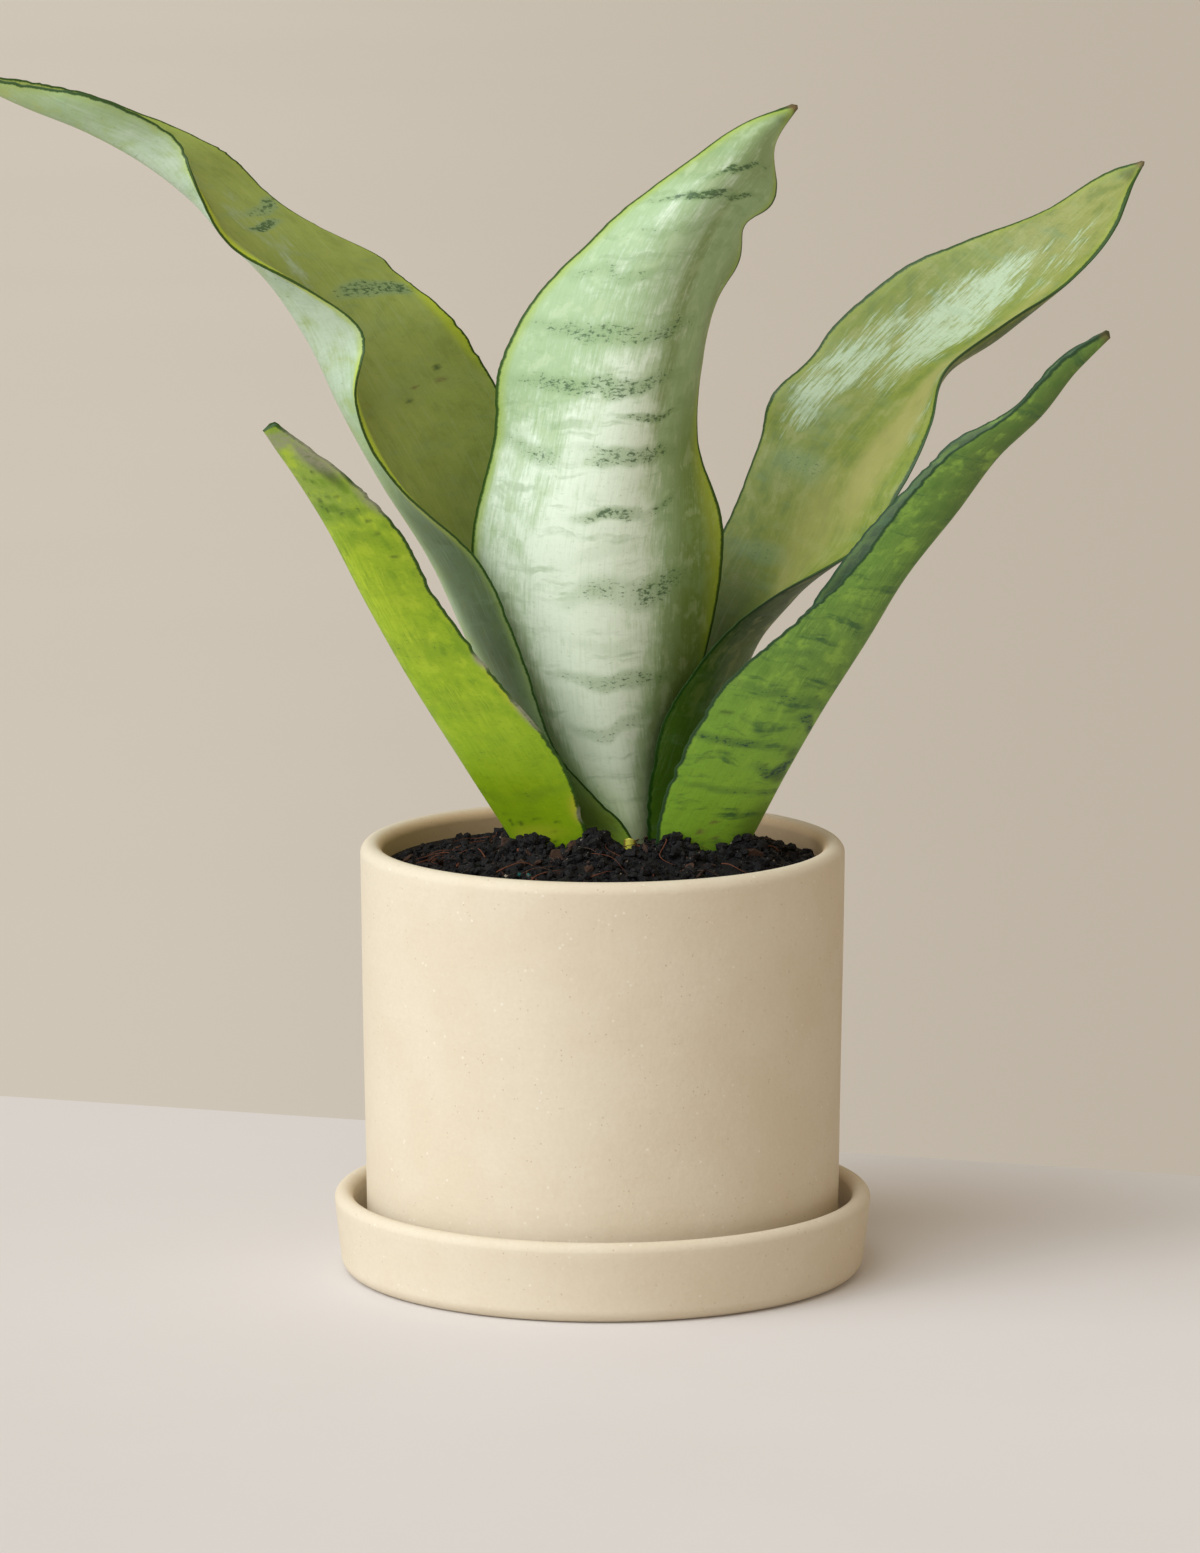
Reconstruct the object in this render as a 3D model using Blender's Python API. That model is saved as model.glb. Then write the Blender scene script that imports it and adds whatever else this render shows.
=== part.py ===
"""Potted snake plant: saucer, pot, soil, rhizome, sheath stub and five leaves.

Every driving size below is in millimetres, and MM turns it into metres. The origin is on the
pot's axis, in the plane that the saucer stands on, with +Z up.

Each leaf is a channelled blade, lofted across three rails that run from its base to its tip:
its far margin, its keel (the bottom of the channel) and its near margin. A rail's points are
set by hand, as (x, y, z), and a smooth curve runs through them.
"""

import math

import bmesh
import bpy
import numpy as np

MM = 0.001

# Clearances
CONTACT_GAP = 0.3  # between pieces that rest on each other
SOCKET_GAP = 0.5  # around whatever is rooted in the soil

# Shading: faces that meet at less than these angles, in degrees, look smooth
SMOOTH_ANGLE = 35.0
LEAF_SMOOTH_ANGLE = 60.0

# Saucer
SAUCER_RADIUS = 72.3
SAUCER_FOOT_RADIUS = 70.5
SAUCER_HEIGHT = 22.0
SAUCER_WALL = 5.0
SAUCER_FLOOR = 6.5
SAUCER_CORNER = 4.0
SAUCER_FILLET = 3.0

# Pot
POT_RADIUS = 65.0
POT_FOOT_RADIUS = 63.5
POT_HEIGHT = 109.7
POT_WALL = 6.0
POT_FLOOR = 8.0
POT_CORNER = 3.0
POT_FILLET = 6.0
DRAIN_RADIUS = 6.0
TURN_STEPS = 60  # facets round the pot and the saucer
FILLET_MIDDLE = 0.3  # how far a fillet's middle stands off its two walls, as a share of its radius

# Soil: a mound that is highest around the leaves
SOIL_EDGE_Z = 109.8
SOIL_RISE = 7.0
MOUND_CENTRE = (6.0, -2.0)
MOUND_FLAT = 0.3  # share of the radius that stays at full height
SOIL_RINGS = 9
SOIL_STEPS = 44
LUMP_COUNT = 46
LUMP_REACH = 50.0  # the farthest that a lump lies from the pot's axis
LUMP_INNER_SHARE = 0.02  # share of the lumps' disc, by area, that stays clear round the axis
LUMP_FADE_START = 0.8  # share of the radius from which the lumps fade towards the wall
LUMP_RADIUS = (3.5, 7.0)
LUMP_HEIGHT = (0.5, 2.0)
LUMP_SEED = 11

# Rhizome: a stout underground stem with scar rings and a few roots
RHIZOME_ENDS = (-25.0, 38.0)
RHIZOME_HALF_WIDTH = 10.5
RHIZOME_HALF_HEIGHT = 7.4
RHIZOME_AXIS_Y = -4.5
RHIZOME_AXIS_Z = 90.0
RHIZOME_RINGS = 18
RHIZOME_SIDES = 14
RHIZOME_SWAY = 2.0  # how far the rhizome snakes to each side
RHIZOME_SWAY_LENGTH = 14.0
RHIZOME_BLUNTNESS = 0.55  # 1 gives round ends, and less gives blunter ones
SCAR_SPACING = 8.5
SCAR_DEPTH = 0.05
ROOT_SIDES = 7
ROOT_POINTS = 5
ROOT_RADII = (1.7, 1.5, 1.2, 0.8)
ROOTS = (
    ((-18, -6, 86), (-24, -12, 76), (-33, -15, 67), (-38, -20, 58)),
    ((-8, 0, 86), (-12, 9, 75), (-20, 16, 64), (-22, 25, 54)),
    ((4, -8, 86), (3, -18, 77), (7, -27, 66), (4, -33, 55)),
    ((14, -2, 85), (16, 8, 74), (14, 17, 62), (19, 26, 52)),
    ((26, -7, 86), (31, -14, 76), (36, -24, 67), (37, -28, 56)),
    ((33, -2, 87), (41, 4, 79), (46, 12, 68), (47, 15, 57)),
)

# Leaf blades
LEAF_RING_SPACING = 9.5
LEAF_ACROSS = 9  # points across each side of a blade
LEAF_THICKNESS_BASE = 3.0
LEAF_THICKNESS_TIP = 1.6
LEAF_MARGIN_THICKNESS = 1.0
TIP_TAPER = 0.06  # share of the length over which the blade thins to its point
TIP_LEFT = 0.45  # share of the thickness that is left at the point
TIP_START = 0.985  # where the last full ring lies
SOCKET_TOP_Z = 126.0
SOCKET_RINGS = 7
SOCKET_DEPTH = 3.0  # a socket runs this far below the leaf's foot, into the rhizome's hollow

LEAF_CENTRE = (
    ((4, 2, 99), (8, -1, 99), (12, 2, 99)),
    ((1, 3, 116), (8, -5, 115), (14, 3, 116)),
    ((-15, 5, 138), (3, -9, 138), (18, 6, 138)),
    ((-30, 4, 168), (0, -14, 166), (27, 9, 166)),
    ((-35, 2, 196), (0, -16, 194), (30, 9, 197)),
    ((-29, 2, 225), (5, -15, 224), (24, 15, 223)),
    ((-27, 2, 246), (10, -12, 247), (27, 19, 247)),
    ((-14, 1, 267), (16, -8, 268), (32, 19, 265)),
    ((5, 2, 286), (26, -5, 286), (38, 17, 281)),
    ((23, 3, 299), (36, -2, 298), (45, 13, 292)),
    ((36, 5, 308), (43, 2, 307), (46, 9, 303)),
    ((51, 7, 314), (52, 7, 313), (52, 7, 313)),
)
LEAF_LEFT = (
    ((2, 5, 99), (-2, 1, 98), (4, -9, 100)),
    ((2, 10, 115), (-5, 3, 114), (8, -13, 119)),
    ((0, 13, 128), (-13, 6, 127), (-2, -14, 131)),
    ((-4, 17, 142), (-22, 8, 142), (-12, -14, 143)),
    ((-11, 24, 167), (-33, 9, 165), (-22, -14, 171)),
    ((-15, 28, 197), (-44, 9, 191), (-33, -12, 195)),
    ((-22, 30, 221), (-55, 8, 213), (-51, -10, 215)),
    ((-30, 30, 238), (-67, 8, 234), (-61, -9, 237)),
    ((-41, 27, 255), (-78, 6, 253), (-62, -6, 255)),
    ((-53, 26, 265), (-86, 5, 266), (-76, -6, 266)),
    ((-68, 23, 275), (-96, 4, 278), (-95, -5, 278)),
    ((-90, 20, 291), (-108, 3, 289), (-104, -4, 292)),
    ((-107, 15, 304), (-125, 2, 301), (-114, 0, 307)),
    ((-131, 13, 314), (-137, 4, 307), (-132, -4, 316)),
    ((-149, 10, 319), (-152, 5, 313), (-149, 0, 319)),
    ((-172, 6, 322), (-172, 6, 322), (-172, 6, 322)),
)
LEAF_RIGHT = (
    ((14, 6, 99), (20, 2, 99), (15, -6, 100)),
    ((14, 10, 117), (24, 3, 115), (12, -7, 117)),
    ((19, 17, 137), (29, 6, 136), (13, -9, 137)),
    ((23, 24, 156), (36, 9, 156), (19, -8, 156)),
    ((26, 30, 172), (41, 12, 169), (31, -6, 172)),
    ((30, 36, 189), (50, 16, 182), (46, -5, 184)),
    ((36, 41, 202), (57, 18, 195), (69, -3, 197)),
    ((42, 44, 217), (63, 22, 211), (78, -2, 212)),
    ((48, 46, 233), (75, 26, 227), (87, 3, 229)),
    ((63, 46, 245), (87, 28, 240), (92, 9, 243)),
    ((78, 46, 263), (100, 31, 249), (107, 14, 254)),
    ((98, 46, 273), (116, 34, 264), (125, 20, 265)),
    ((121, 46, 282), (131, 38, 280), (138, 28, 279)),
    ((137, 46, 292), (141, 41, 289), (143, 37, 290)),
    ((146, 43, 295), (146, 43, 295), (146, 43, 294)),
)
LEAF_FRONT_LEFT = (
    ((-9, -2, 102), (-12, -9, 101), (-4, -13, 103)),
    ((-13, -3, 120), (-23, -12, 119), (-4, -19, 121)),
    ((-24, -7, 144), (-36, -20, 141), (-11, -24, 143)),
    ((-38, -9, 166), (-50, -24, 164), (-27, -27, 164)),
    ((-51, -13, 187), (-62, -28, 186), (-43, -30, 186)),
    ((-61, -18, 209), (-73, -33, 208), (-55, -35, 208)),
    ((-74, -25, 223), (-82, -37, 223), (-70, -38, 223)),
    ((-86, -37, 235), (-89, -40, 233), (-86, -40, 235)),
)
LEAF_FRONT_RIGHT = (
    ((25, -5, 101), (27, -10, 100), (19, -15, 101)),
    ((27, -4, 118), (37, -12, 117), (14, -19, 117)),
    ((31, -2, 140), (48, -15, 138), (19, -23, 140)),
    ((39, -5, 161), (58, -19, 156), (31, -27, 162)),
    ((52, -7, 177), (69, -22, 174), (49, -29, 179)),
    ((64, -13, 195), (80, -26, 193), (65, -31, 194)),
    ((77, -16, 211), (93, -28, 210), (79, -33, 213)),
    ((93, -19, 227), (104, -30, 225), (91, -34, 226)),
    ((108, -25, 237), (115, -32, 236), (107, -35, 237)),
    ((120, -30, 251), (124, -34, 248), (120, -36, 251)),
    ((132, -36, 259), (133, -37, 257), (132, -38, 259)),
)
SHEATH_STUB = (
    ((5.5, -15.6, 102), (7.0, -16.6, 102), (8.7, -15.8, 102)),
    ((5.4, -15.7, 112), (7.1, -17.0, 112), (8.9, -15.9, 112)),
    ((5.8, -15.8, 119.5), (7.2, -16.8, 120.2), (8.8, -16.0, 119.3)),
)
STUB_THICKNESS = 1.2
STUB_RINGS = 6
STUB_SOCKET_TOP_Z = 124.0

# Colours (linear RGB), roughness
CREAM_CERAMIC = ((0.66, 0.52, 0.36), 0.6)
DARK_SOIL = ((0.018, 0.012, 0.009), 0.95)
RHIZOME_CREAM = ((0.62, 0.47, 0.2), 0.6)
STUB_YELLOW = ((0.62, 0.52, 0.06), 0.55)
SILVER_GREEN = ((0.36, 0.5, 0.3), 0.4)
OLIVE_GREEN = ((0.22, 0.32, 0.12), 0.4)
PALE_OLIVE = ((0.38, 0.42, 0.14), 0.4)
BRIGHT_GREEN = ((0.16, 0.32, 0.03), 0.4)
DEEP_GREEN = ((0.08, 0.2, 0.05), 0.4)


def clear_scene():
    """Remove every object, mesh and material that the file starts with."""
    for item in list(bpy.data.objects):
        bpy.data.objects.remove(item, do_unlink=True)
    for block in (bpy.data.meshes, bpy.data.materials):
        for item in list(block):
            block.remove(item)


def material(name, finish):
    """Make a plain Principled material from a (colour, roughness) pair."""
    colour, roughness = finish
    made = bpy.data.materials.new(name)
    made.use_nodes = True
    shader = made.node_tree.nodes["Principled BSDF"]
    shader.inputs["Base Color"].default_value = (*colour, 1.0)
    shader.inputs["Roughness"].default_value = roughness
    shader.inputs["Metallic"].default_value = 0.0
    made.diffuse_color = (*colour, 1.0)
    return made


def add_object(name, mesh, finish=None, smooth_angle=SMOOTH_ANGLE):
    """Link a mesh as a named object, smooth but for its sharp edges."""
    made = bpy.data.objects.new(name, mesh)
    bpy.context.collection.objects.link(made)
    mesh.shade_smooth()
    mesh.set_sharp_from_angle(angle=math.radians(smooth_angle))
    if finish:
        mesh.materials.append(material(name, finish))
    return made


def closed_mesh(name, verts, faces):
    """Make a mesh from points in millimetres, with every face turned outwards."""
    mesh = bpy.data.meshes.new(name)
    mesh.from_pydata([(x * MM, y * MM, z * MM) for x, y, z in verts], [], faces)
    form = bmesh.new()
    form.from_mesh(mesh)
    bmesh.ops.recalc_face_normals(form, faces=form.faces)
    form.to_mesh(mesh)
    form.free()
    return mesh


def as_cutter(cutter):
    """Mark an object as a cutting tool, which isn't a part of the plant."""
    cutter.hide_render = True
    cutter.display_type = "WIRE"
    return cutter


def boolean(target, tool, operation):
    """Put a live Boolean on the target, with the tool as its operand."""
    step = target.modifiers.new(tool.name, "BOOLEAN")
    step.operation = operation
    step.solver = "EXACT"
    step.object = as_cutter(tool)


def arc(centre_r, centre_z, radius, start, end, steps=5):
    """Points of a profile's arc, as (r, z), with the angles in degrees."""
    angles = np.radians(np.linspace(start, end, steps))
    return [(centre_r + radius * math.cos(a), centre_z + radius * math.sin(a)) for a in angles]


def turned(name, profile, finish):
    """Spin a closed (r, z) outline about the Z axis."""
    form = bmesh.new()
    corners = [form.verts.new((r * MM, 0.0, z * MM)) for r, z in profile]
    edges = [form.edges.new(pair) for pair in zip(corners, corners[1:])]
    if profile[0][0] > 0.0:
        edges.append(form.edges.new((corners[-1], corners[0])))
    bmesh.ops.spin(
        form,
        geom=corners + edges,
        cent=(0, 0, 0),
        axis=(0, 0, 1),
        angle=math.tau,
        steps=TURN_STEPS,
        use_merge=True,
    )
    bmesh.ops.remove_doubles(form, verts=form.verts, dist=1e-6)
    bmesh.ops.recalc_face_normals(form, faces=form.faces)
    mesh = bpy.data.meshes.new(name)
    form.to_mesh(mesh)
    form.free()
    return add_object(name, mesh, finish)


def build_saucer():
    """A shallow dish whose wall leans out a little and ends in a round lip."""
    lip = SAUCER_WALL / 2
    inner = SAUCER_RADIUS - SAUCER_WALL
    profile = [(0.0, 0.0)]
    profile += arc(SAUCER_FOOT_RADIUS - SAUCER_CORNER, SAUCER_CORNER, SAUCER_CORNER, -90, 0, 4)
    profile += arc(SAUCER_RADIUS - lip, SAUCER_HEIGHT - lip, lip, 0, 180, 6)
    profile += arc(inner - SAUCER_FILLET, SAUCER_FLOOR + SAUCER_FILLET, SAUCER_FILLET, 0, -90, 3)
    profile += [(0.0, SAUCER_FLOOR)]
    return turned("saucer", profile, CREAM_CERAMIC)


def build_pot():
    """A nearly straight pot with a round lip and one drain hole in its floor."""
    foot_z = SAUCER_FLOOR + CONTACT_GAP
    rim_z = foot_z + POT_HEIGHT
    floor_z = foot_z + POT_FLOOR
    lip = POT_WALL / 2
    inner = POT_RADIUS - POT_WALL
    profile = [(DRAIN_RADIUS, foot_z)]
    profile += arc(POT_FOOT_RADIUS - POT_CORNER, foot_z + POT_CORNER, POT_CORNER, -90, 0, 4)
    profile += arc(POT_RADIUS - lip, rim_z - lip, lip, 0, 180, 7)
    profile += arc(inner - POT_FILLET, floor_z + POT_FILLET, POT_FILLET, 0, -90, 4)
    profile += [(DRAIN_RADIUS, floor_z)]
    return turned("pot", profile, CREAM_CERAMIC)


def smooth_step(value):
    """Ease from 0 to 1 with no slope at either end."""
    held = np.clip(value, 0.0, 1.0)
    return held * held * (3.0 - 2.0 * held)


def soil_lumps():
    """Seeded lumps of the soil's top, as rows of x, y, radius and height."""
    draw = np.random.default_rng(LUMP_SEED)
    distance = LUMP_REACH * np.sqrt(draw.uniform(LUMP_INNER_SHARE, 1.0, LUMP_COUNT))
    bearing = draw.uniform(0.0, math.tau, LUMP_COUNT)
    radius = draw.uniform(*LUMP_RADIUS, LUMP_COUNT)
    height = draw.uniform(*LUMP_HEIGHT, LUMP_COUNT)
    return np.stack([distance * np.cos(bearing), distance * np.sin(bearing), radius, height], -1)


def soil_height(x, y):
    """Height of the soil: the edge's height, plus the mound, plus the lumps."""
    limit = POT_RADIUS - POT_WALL
    reach = np.hypot(x - MOUND_CENTRE[0], y - MOUND_CENTRE[1]) / limit
    mound = 1.0 - smooth_step((reach - MOUND_FLAT) / (1.0 - MOUND_FLAT))
    height = SOIL_EDGE_Z + SOIL_RISE * mound
    fade = 1.0 - smooth_step((np.hypot(x, y) / limit - LUMP_FADE_START) / (1.0 - LUMP_FADE_START))
    for lump_x, lump_y, radius, rise in soil_lumps():
        height = height + fade * rise * np.exp(-((x - lump_x) ** 2 + (y - lump_y) ** 2) / radius**2)
    return height


def build_soil():
    """The soil's block, from the pot's floor to the lumpy mound, before its sockets are cut."""
    radius = POT_RADIUS - POT_WALL - CONTACT_GAP
    bottom = SAUCER_FLOOR + CONTACT_GAP + POT_FLOOR + CONTACT_GAP
    bearings = np.linspace(0.0, math.tau, SOIL_STEPS, endpoint=False)
    verts = [(0.0, 0.0, float(soil_height(0.0, 0.0)))]
    for ring in range(1, SOIL_RINGS + 1):
        x = radius * ring / SOIL_RINGS * np.cos(bearings)
        y = radius * ring / SOIL_RINGS * np.sin(bearings)
        verts += list(zip(x, y, soil_height(x, y)))
    middle = FILLET_MIDDLE * POT_FILLET
    for inset, rise in ((0.0, POT_FILLET), (middle, middle), (POT_FILLET, 0.0)):
        reach = radius - inset
        verts += [(reach * math.cos(b), reach * math.sin(b), bottom + rise) for b in bearings]
    verts.append((0.0, 0.0, bottom))
    rows = SOIL_RINGS + 3
    faces = [(0, 1 + i, 1 + (i + 1) % SOIL_STEPS) for i in range(SOIL_STEPS)]
    for row in range(rows - 1):
        first = 1 + row * SOIL_STEPS
        second = first + SOIL_STEPS
        for i in range(SOIL_STEPS):
            j = (i + 1) % SOIL_STEPS
            faces.append((first + i, second + i, second + j, first + j))
    last = 1 + (rows - 1) * SOIL_STEPS
    centre = len(verts) - 1
    faces += [(centre, last + (i + 1) % SOIL_STEPS, last + i) for i in range(SOIL_STEPS)]
    return add_object("soil", closed_mesh("soil", verts, faces), DARK_SOIL)


def rail_knots(keel):
    """Distance along the keel at each of its points, which all three rails share."""
    steps = np.linalg.norm(np.diff(np.asarray(keel, float), axis=0), axis=1)
    return np.concatenate([[0.0], np.cumsum(steps)])


def rail_curve(points, knots, places):
    """A smooth cubic through the points, with the slope at each from its two neighbours."""
    points = np.asarray(points, float)
    spans = np.diff(knots)
    slopes = np.diff(points, axis=0) / spans[:, None]
    tangents = np.empty_like(points)
    tangents[0] = slopes[0]
    tangents[-1] = slopes[-1]
    tangents[1:-1] = (slopes[:-1] * spans[1:, None] + slopes[1:] * spans[:-1, None]) / (
        spans[1:, None] + spans[:-1, None]
    )
    index = np.clip(np.searchsorted(knots, places, side="right") - 1, 0, len(spans) - 1)
    span = spans[index][:, None]
    t = (places - knots[index])[:, None] / span
    return (
        (2 * t**3 - 3 * t**2 + 1) * points[index]
        + (t**3 - 2 * t**2 + t) * span * tangents[index]
        + (3 * t**2 - 2 * t**3) * points[index + 1]
        + (t**3 - t**2) * span * tangents[index + 1]
    )


def blade_surface(rails, places, across):
    """Middle surface of a blade: a parabola across the three rails at each place."""
    far, keel, near = (np.array([row[k] for row in rails], float) for k in range(3))
    knots = rail_knots(keel)
    far, keel, near = (rail_curve(rail, knots, places)[:, None] for rail in (far, keel, near))
    v = across[None, :, None]
    return keel + v * (near - far) / 2 + v**2 * ((near + far) / 2 - keel)


def blade_normals(grid):
    """Unit normals of a grid of points, towards the outer (keel) side of the blade."""
    along = np.gradient(grid, axis=0)
    over = np.gradient(grid, axis=1)
    normal = np.cross(along, over)
    return normal / np.linalg.norm(normal, axis=-1, keepdims=True)


def blade_mesh(name, rails, thickness, places, grow=0.0, pointed=True):
    """Close a blade's two sides, its margins and its ends into one solid.

    The blade is thickest at the keel and thinnest at its margins, and `grow` widens it all
    round, which makes the socket for it.
    """
    far, near = np.array(rails[1][0], float), np.array(rails[1][2], float)
    extra = grow / (np.linalg.norm(near - far) / 2)
    across = np.linspace(-1.0 - extra, 1.0 + extra, LEAF_ACROSS)
    grid = blade_surface(rails, places, across)
    normals = blade_normals(grid)
    total = rail_knots([row[1] for row in rails])[-1]
    share = (places / total)[:, None]
    body = thickness * (1 - share) + min(thickness, LEAF_THICKNESS_TIP) * share
    margin = min(thickness, LEAF_MARGIN_THICKNESS)
    depth = margin + (body - margin) * np.clip(1.0 - across[None, :] ** 2, 0.0, 1.0)
    if pointed:
        depth = depth * (TIP_LEFT + (1.0 - TIP_LEFT) * smooth_step((1.0 - share) / TIP_TAPER))
    offset = normals * (depth / 2 + grow)[..., None]
    outer = grid + offset
    inner = grid - offset
    rows = len(places)
    ring = np.concatenate([outer, inner[:, ::-1]], axis=1)
    count = ring.shape[1]
    verts = ring.reshape(-1, 3).tolist()
    faces = []
    for row in range(rows - 1):
        for i in range(count):
            j = (i + 1) % count
            first = row * count
            faces.append((first + i, first + j, first + count + j, first + count + i))
    ends = [0] if pointed else [0, (rows - 1) * count]
    for first in ends:
        for i in range(LEAF_ACROSS - 1):
            faces.append((first + i, first + i + 1, first + count - 2 - i, first + count - 1 - i))
    if pointed:
        last = (rows - 1) * count
        verts.append(np.mean([rails[-1][k] for k in range(3)], axis=0).tolist())
        faces += [(last + i, last + (i + 1) % count, len(verts) - 1) for i in range(count)]
    return closed_mesh(name, verts, faces)


def build_leaf(name, rails, finish):
    """One leaf, from its foot on the rhizome to its point."""
    total = rail_knots([row[1] for row in rails])[-1]
    rings = round(total / LEAF_RING_SPACING)
    places = np.linspace(0.0, TIP_START * total, rings)
    mesh = blade_mesh(name, rails, LEAF_THICKNESS_BASE, places)
    return add_object(name, mesh, finish, smooth_angle=LEAF_SMOOTH_ANGLE)


def build_stub(rails, finish):
    """The short cut-off sheath between the leaf bases."""
    total = rail_knots([row[1] for row in rails])[-1]
    places = np.linspace(0.0, total, STUB_RINGS)
    mesh = blade_mesh("sheath_stub", rails, STUB_THICKNESS, places, pointed=False)
    return add_object("sheath_stub", mesh, finish)


def build_socket(name, rails, thickness, top_z):
    """A cutter for the part of a blade that is in the soil, a little larger than it."""
    keel = [row[1] for row in rails]
    top = np.interp(top_z, [point[2] for point in keel], rail_knots(keel))
    places = np.linspace(-SOCKET_DEPTH, top, SOCKET_RINGS)
    mesh = blade_mesh(name, rails, thickness, places, grow=SOCKET_GAP, pointed=False)
    return add_object(name, mesh)


def tube_mesh(name, path, radii, sides, grow=0.0):
    """A closed tube along a path, with a round section that changes in size."""
    path = np.asarray(path, float)
    tangent = np.gradient(path, axis=0)
    tangent /= np.linalg.norm(tangent, axis=1, keepdims=True)
    side = np.cross(tangent, (0.0, 0.0, 1.0))
    side /= np.linalg.norm(side, axis=1, keepdims=True)
    upper = np.cross(side, tangent)
    angles = np.linspace(0.0, math.tau, sides, endpoint=False)[None, :, None]
    radii = np.asarray(radii, float) + grow
    if radii.ndim == 1:
        radii = np.stack([radii, radii], -1)
    rings = (
        path[:, None]
        + radii[:, None, :1] * np.cos(angles) * side[:, None]
        + radii[:, None, 1:] * np.sin(angles) * upper[:, None]
    )
    faces = [tuple(range(sides)), tuple(range((len(path) - 1) * sides, len(path) * sides))]
    for row in range(len(path) - 1):
        first = row * sides
        for i in range(sides):
            j = (i + 1) % sides
            faces.append((first + i, first + j, first + sides + j, first + sides + i))
    return closed_mesh(name, rings.reshape(-1, 3).tolist(), faces)


def rhizome_mesh(name, grow=0.0):
    """The rhizome's body: an oval bar with blunt round ends and shallow scar rings."""
    turn = np.linspace(0.0, math.pi, RHIZOME_RINGS)[1:-1]
    middle = (RHIZOME_ENDS[0] + RHIZOME_ENDS[1]) / 2
    half = (RHIZOME_ENDS[1] - RHIZOME_ENDS[0]) / 2 + grow
    x = middle - half * np.cos(turn)
    y = RHIZOME_AXIS_Y + RHIZOME_SWAY * np.sin(x / RHIZOME_SWAY_LENGTH)
    path = np.stack([x, y, np.full_like(x, RHIZOME_AXIS_Z)], -1)
    blunt = np.sin(turn) ** RHIZOME_BLUNTNESS
    scars = 1.0 - SCAR_DEPTH * (0.5 + 0.5 * np.cos(math.tau * x / SCAR_SPACING)) ** 4
    radii = np.stack([RHIZOME_HALF_WIDTH * blunt * scars, RHIZOME_HALF_HEIGHT * blunt * scars], -1)
    return tube_mesh(name, path, radii, RHIZOME_SIDES, grow)


def root_path(points):
    """A smooth run through a root's four points."""
    knots = rail_knots(points)
    return rail_curve(points, knots, np.linspace(0.0, knots[-1], ROOT_POINTS))


def root_radii():
    """A root's radius at each point of its path, from thick to thin."""
    known = np.linspace(0.0, 1.0, len(ROOT_RADII))
    return np.interp(np.linspace(0.0, 1.0, ROOT_POINTS), known, ROOT_RADII)


def build_rhizome():
    """The rhizome with its roots, joined into one solid."""
    body = add_object("rhizome", rhizome_mesh("rhizome"), RHIZOME_CREAM)
    for number, points in enumerate(ROOTS, start=1):
        name = f"root_{number}"
        root = add_object(name, tube_mesh(name, root_path(points), root_radii(), ROOT_SIDES))
        boolean(body, root, "UNION")
    return body


def build_hollow(blades):
    """The room in the soil for the rhizome, the roots and every blade's foot, as one cutter."""
    hollow = add_object("hollow", rhizome_mesh("hollow", SOCKET_GAP))
    for number, points in enumerate(ROOTS, start=1):
        name = f"root_hollow_{number}"
        path = root_path(points)
        last = path[-1] - path[-2]
        path[-1] += SOCKET_GAP * last / np.linalg.norm(last)
        tool = add_object(name, tube_mesh(name, path, root_radii(), ROOT_SIDES, SOCKET_GAP))
        boolean(hollow, tool, "UNION")
    for name, rails, thickness, top_z in blades:
        boolean(hollow, build_socket(f"{name}_socket", rails, thickness, top_z), "UNION")
    return hollow


def main():
    """Build the whole plant in its pot."""
    clear_scene()
    build_saucer()
    build_pot()
    soil = build_soil()
    build_rhizome()
    leaves = (
        ("leaf_centre", LEAF_CENTRE, SILVER_GREEN),
        ("leaf_left", LEAF_LEFT, OLIVE_GREEN),
        ("leaf_right", LEAF_RIGHT, PALE_OLIVE),
        ("leaf_front_left", LEAF_FRONT_LEFT, BRIGHT_GREEN),
        ("leaf_front_right", LEAF_FRONT_RIGHT, DEEP_GREEN),
    )
    for name, rails, finish in leaves:
        build_leaf(name, rails, finish)
    build_stub(SHEATH_STUB, STUB_YELLOW)
    blades = [(name, rails, LEAF_THICKNESS_BASE, SOCKET_TOP_Z) for name, rails, _ in leaves]
    blades.append(("sheath_stub", SHEATH_STUB, STUB_THICKNESS, STUB_SOCKET_TOP_Z))
    boolean(soil, build_hollow(blades), "DIFFERENCE")


main()
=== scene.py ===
"""The looks of a potted snake plant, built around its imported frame.

The plant stands in a turned ceramic pot on a saucer. Its soil is a lumpy mound with loose
crumbs, chips and fibres on it, and five channelled leaves grow out of it. All sizes are in
metres unless a name or a docstring says millimetres. The camera looks along +Y.
"""

import logging
import math
from dataclasses import dataclass, field
from enum import Enum

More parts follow.
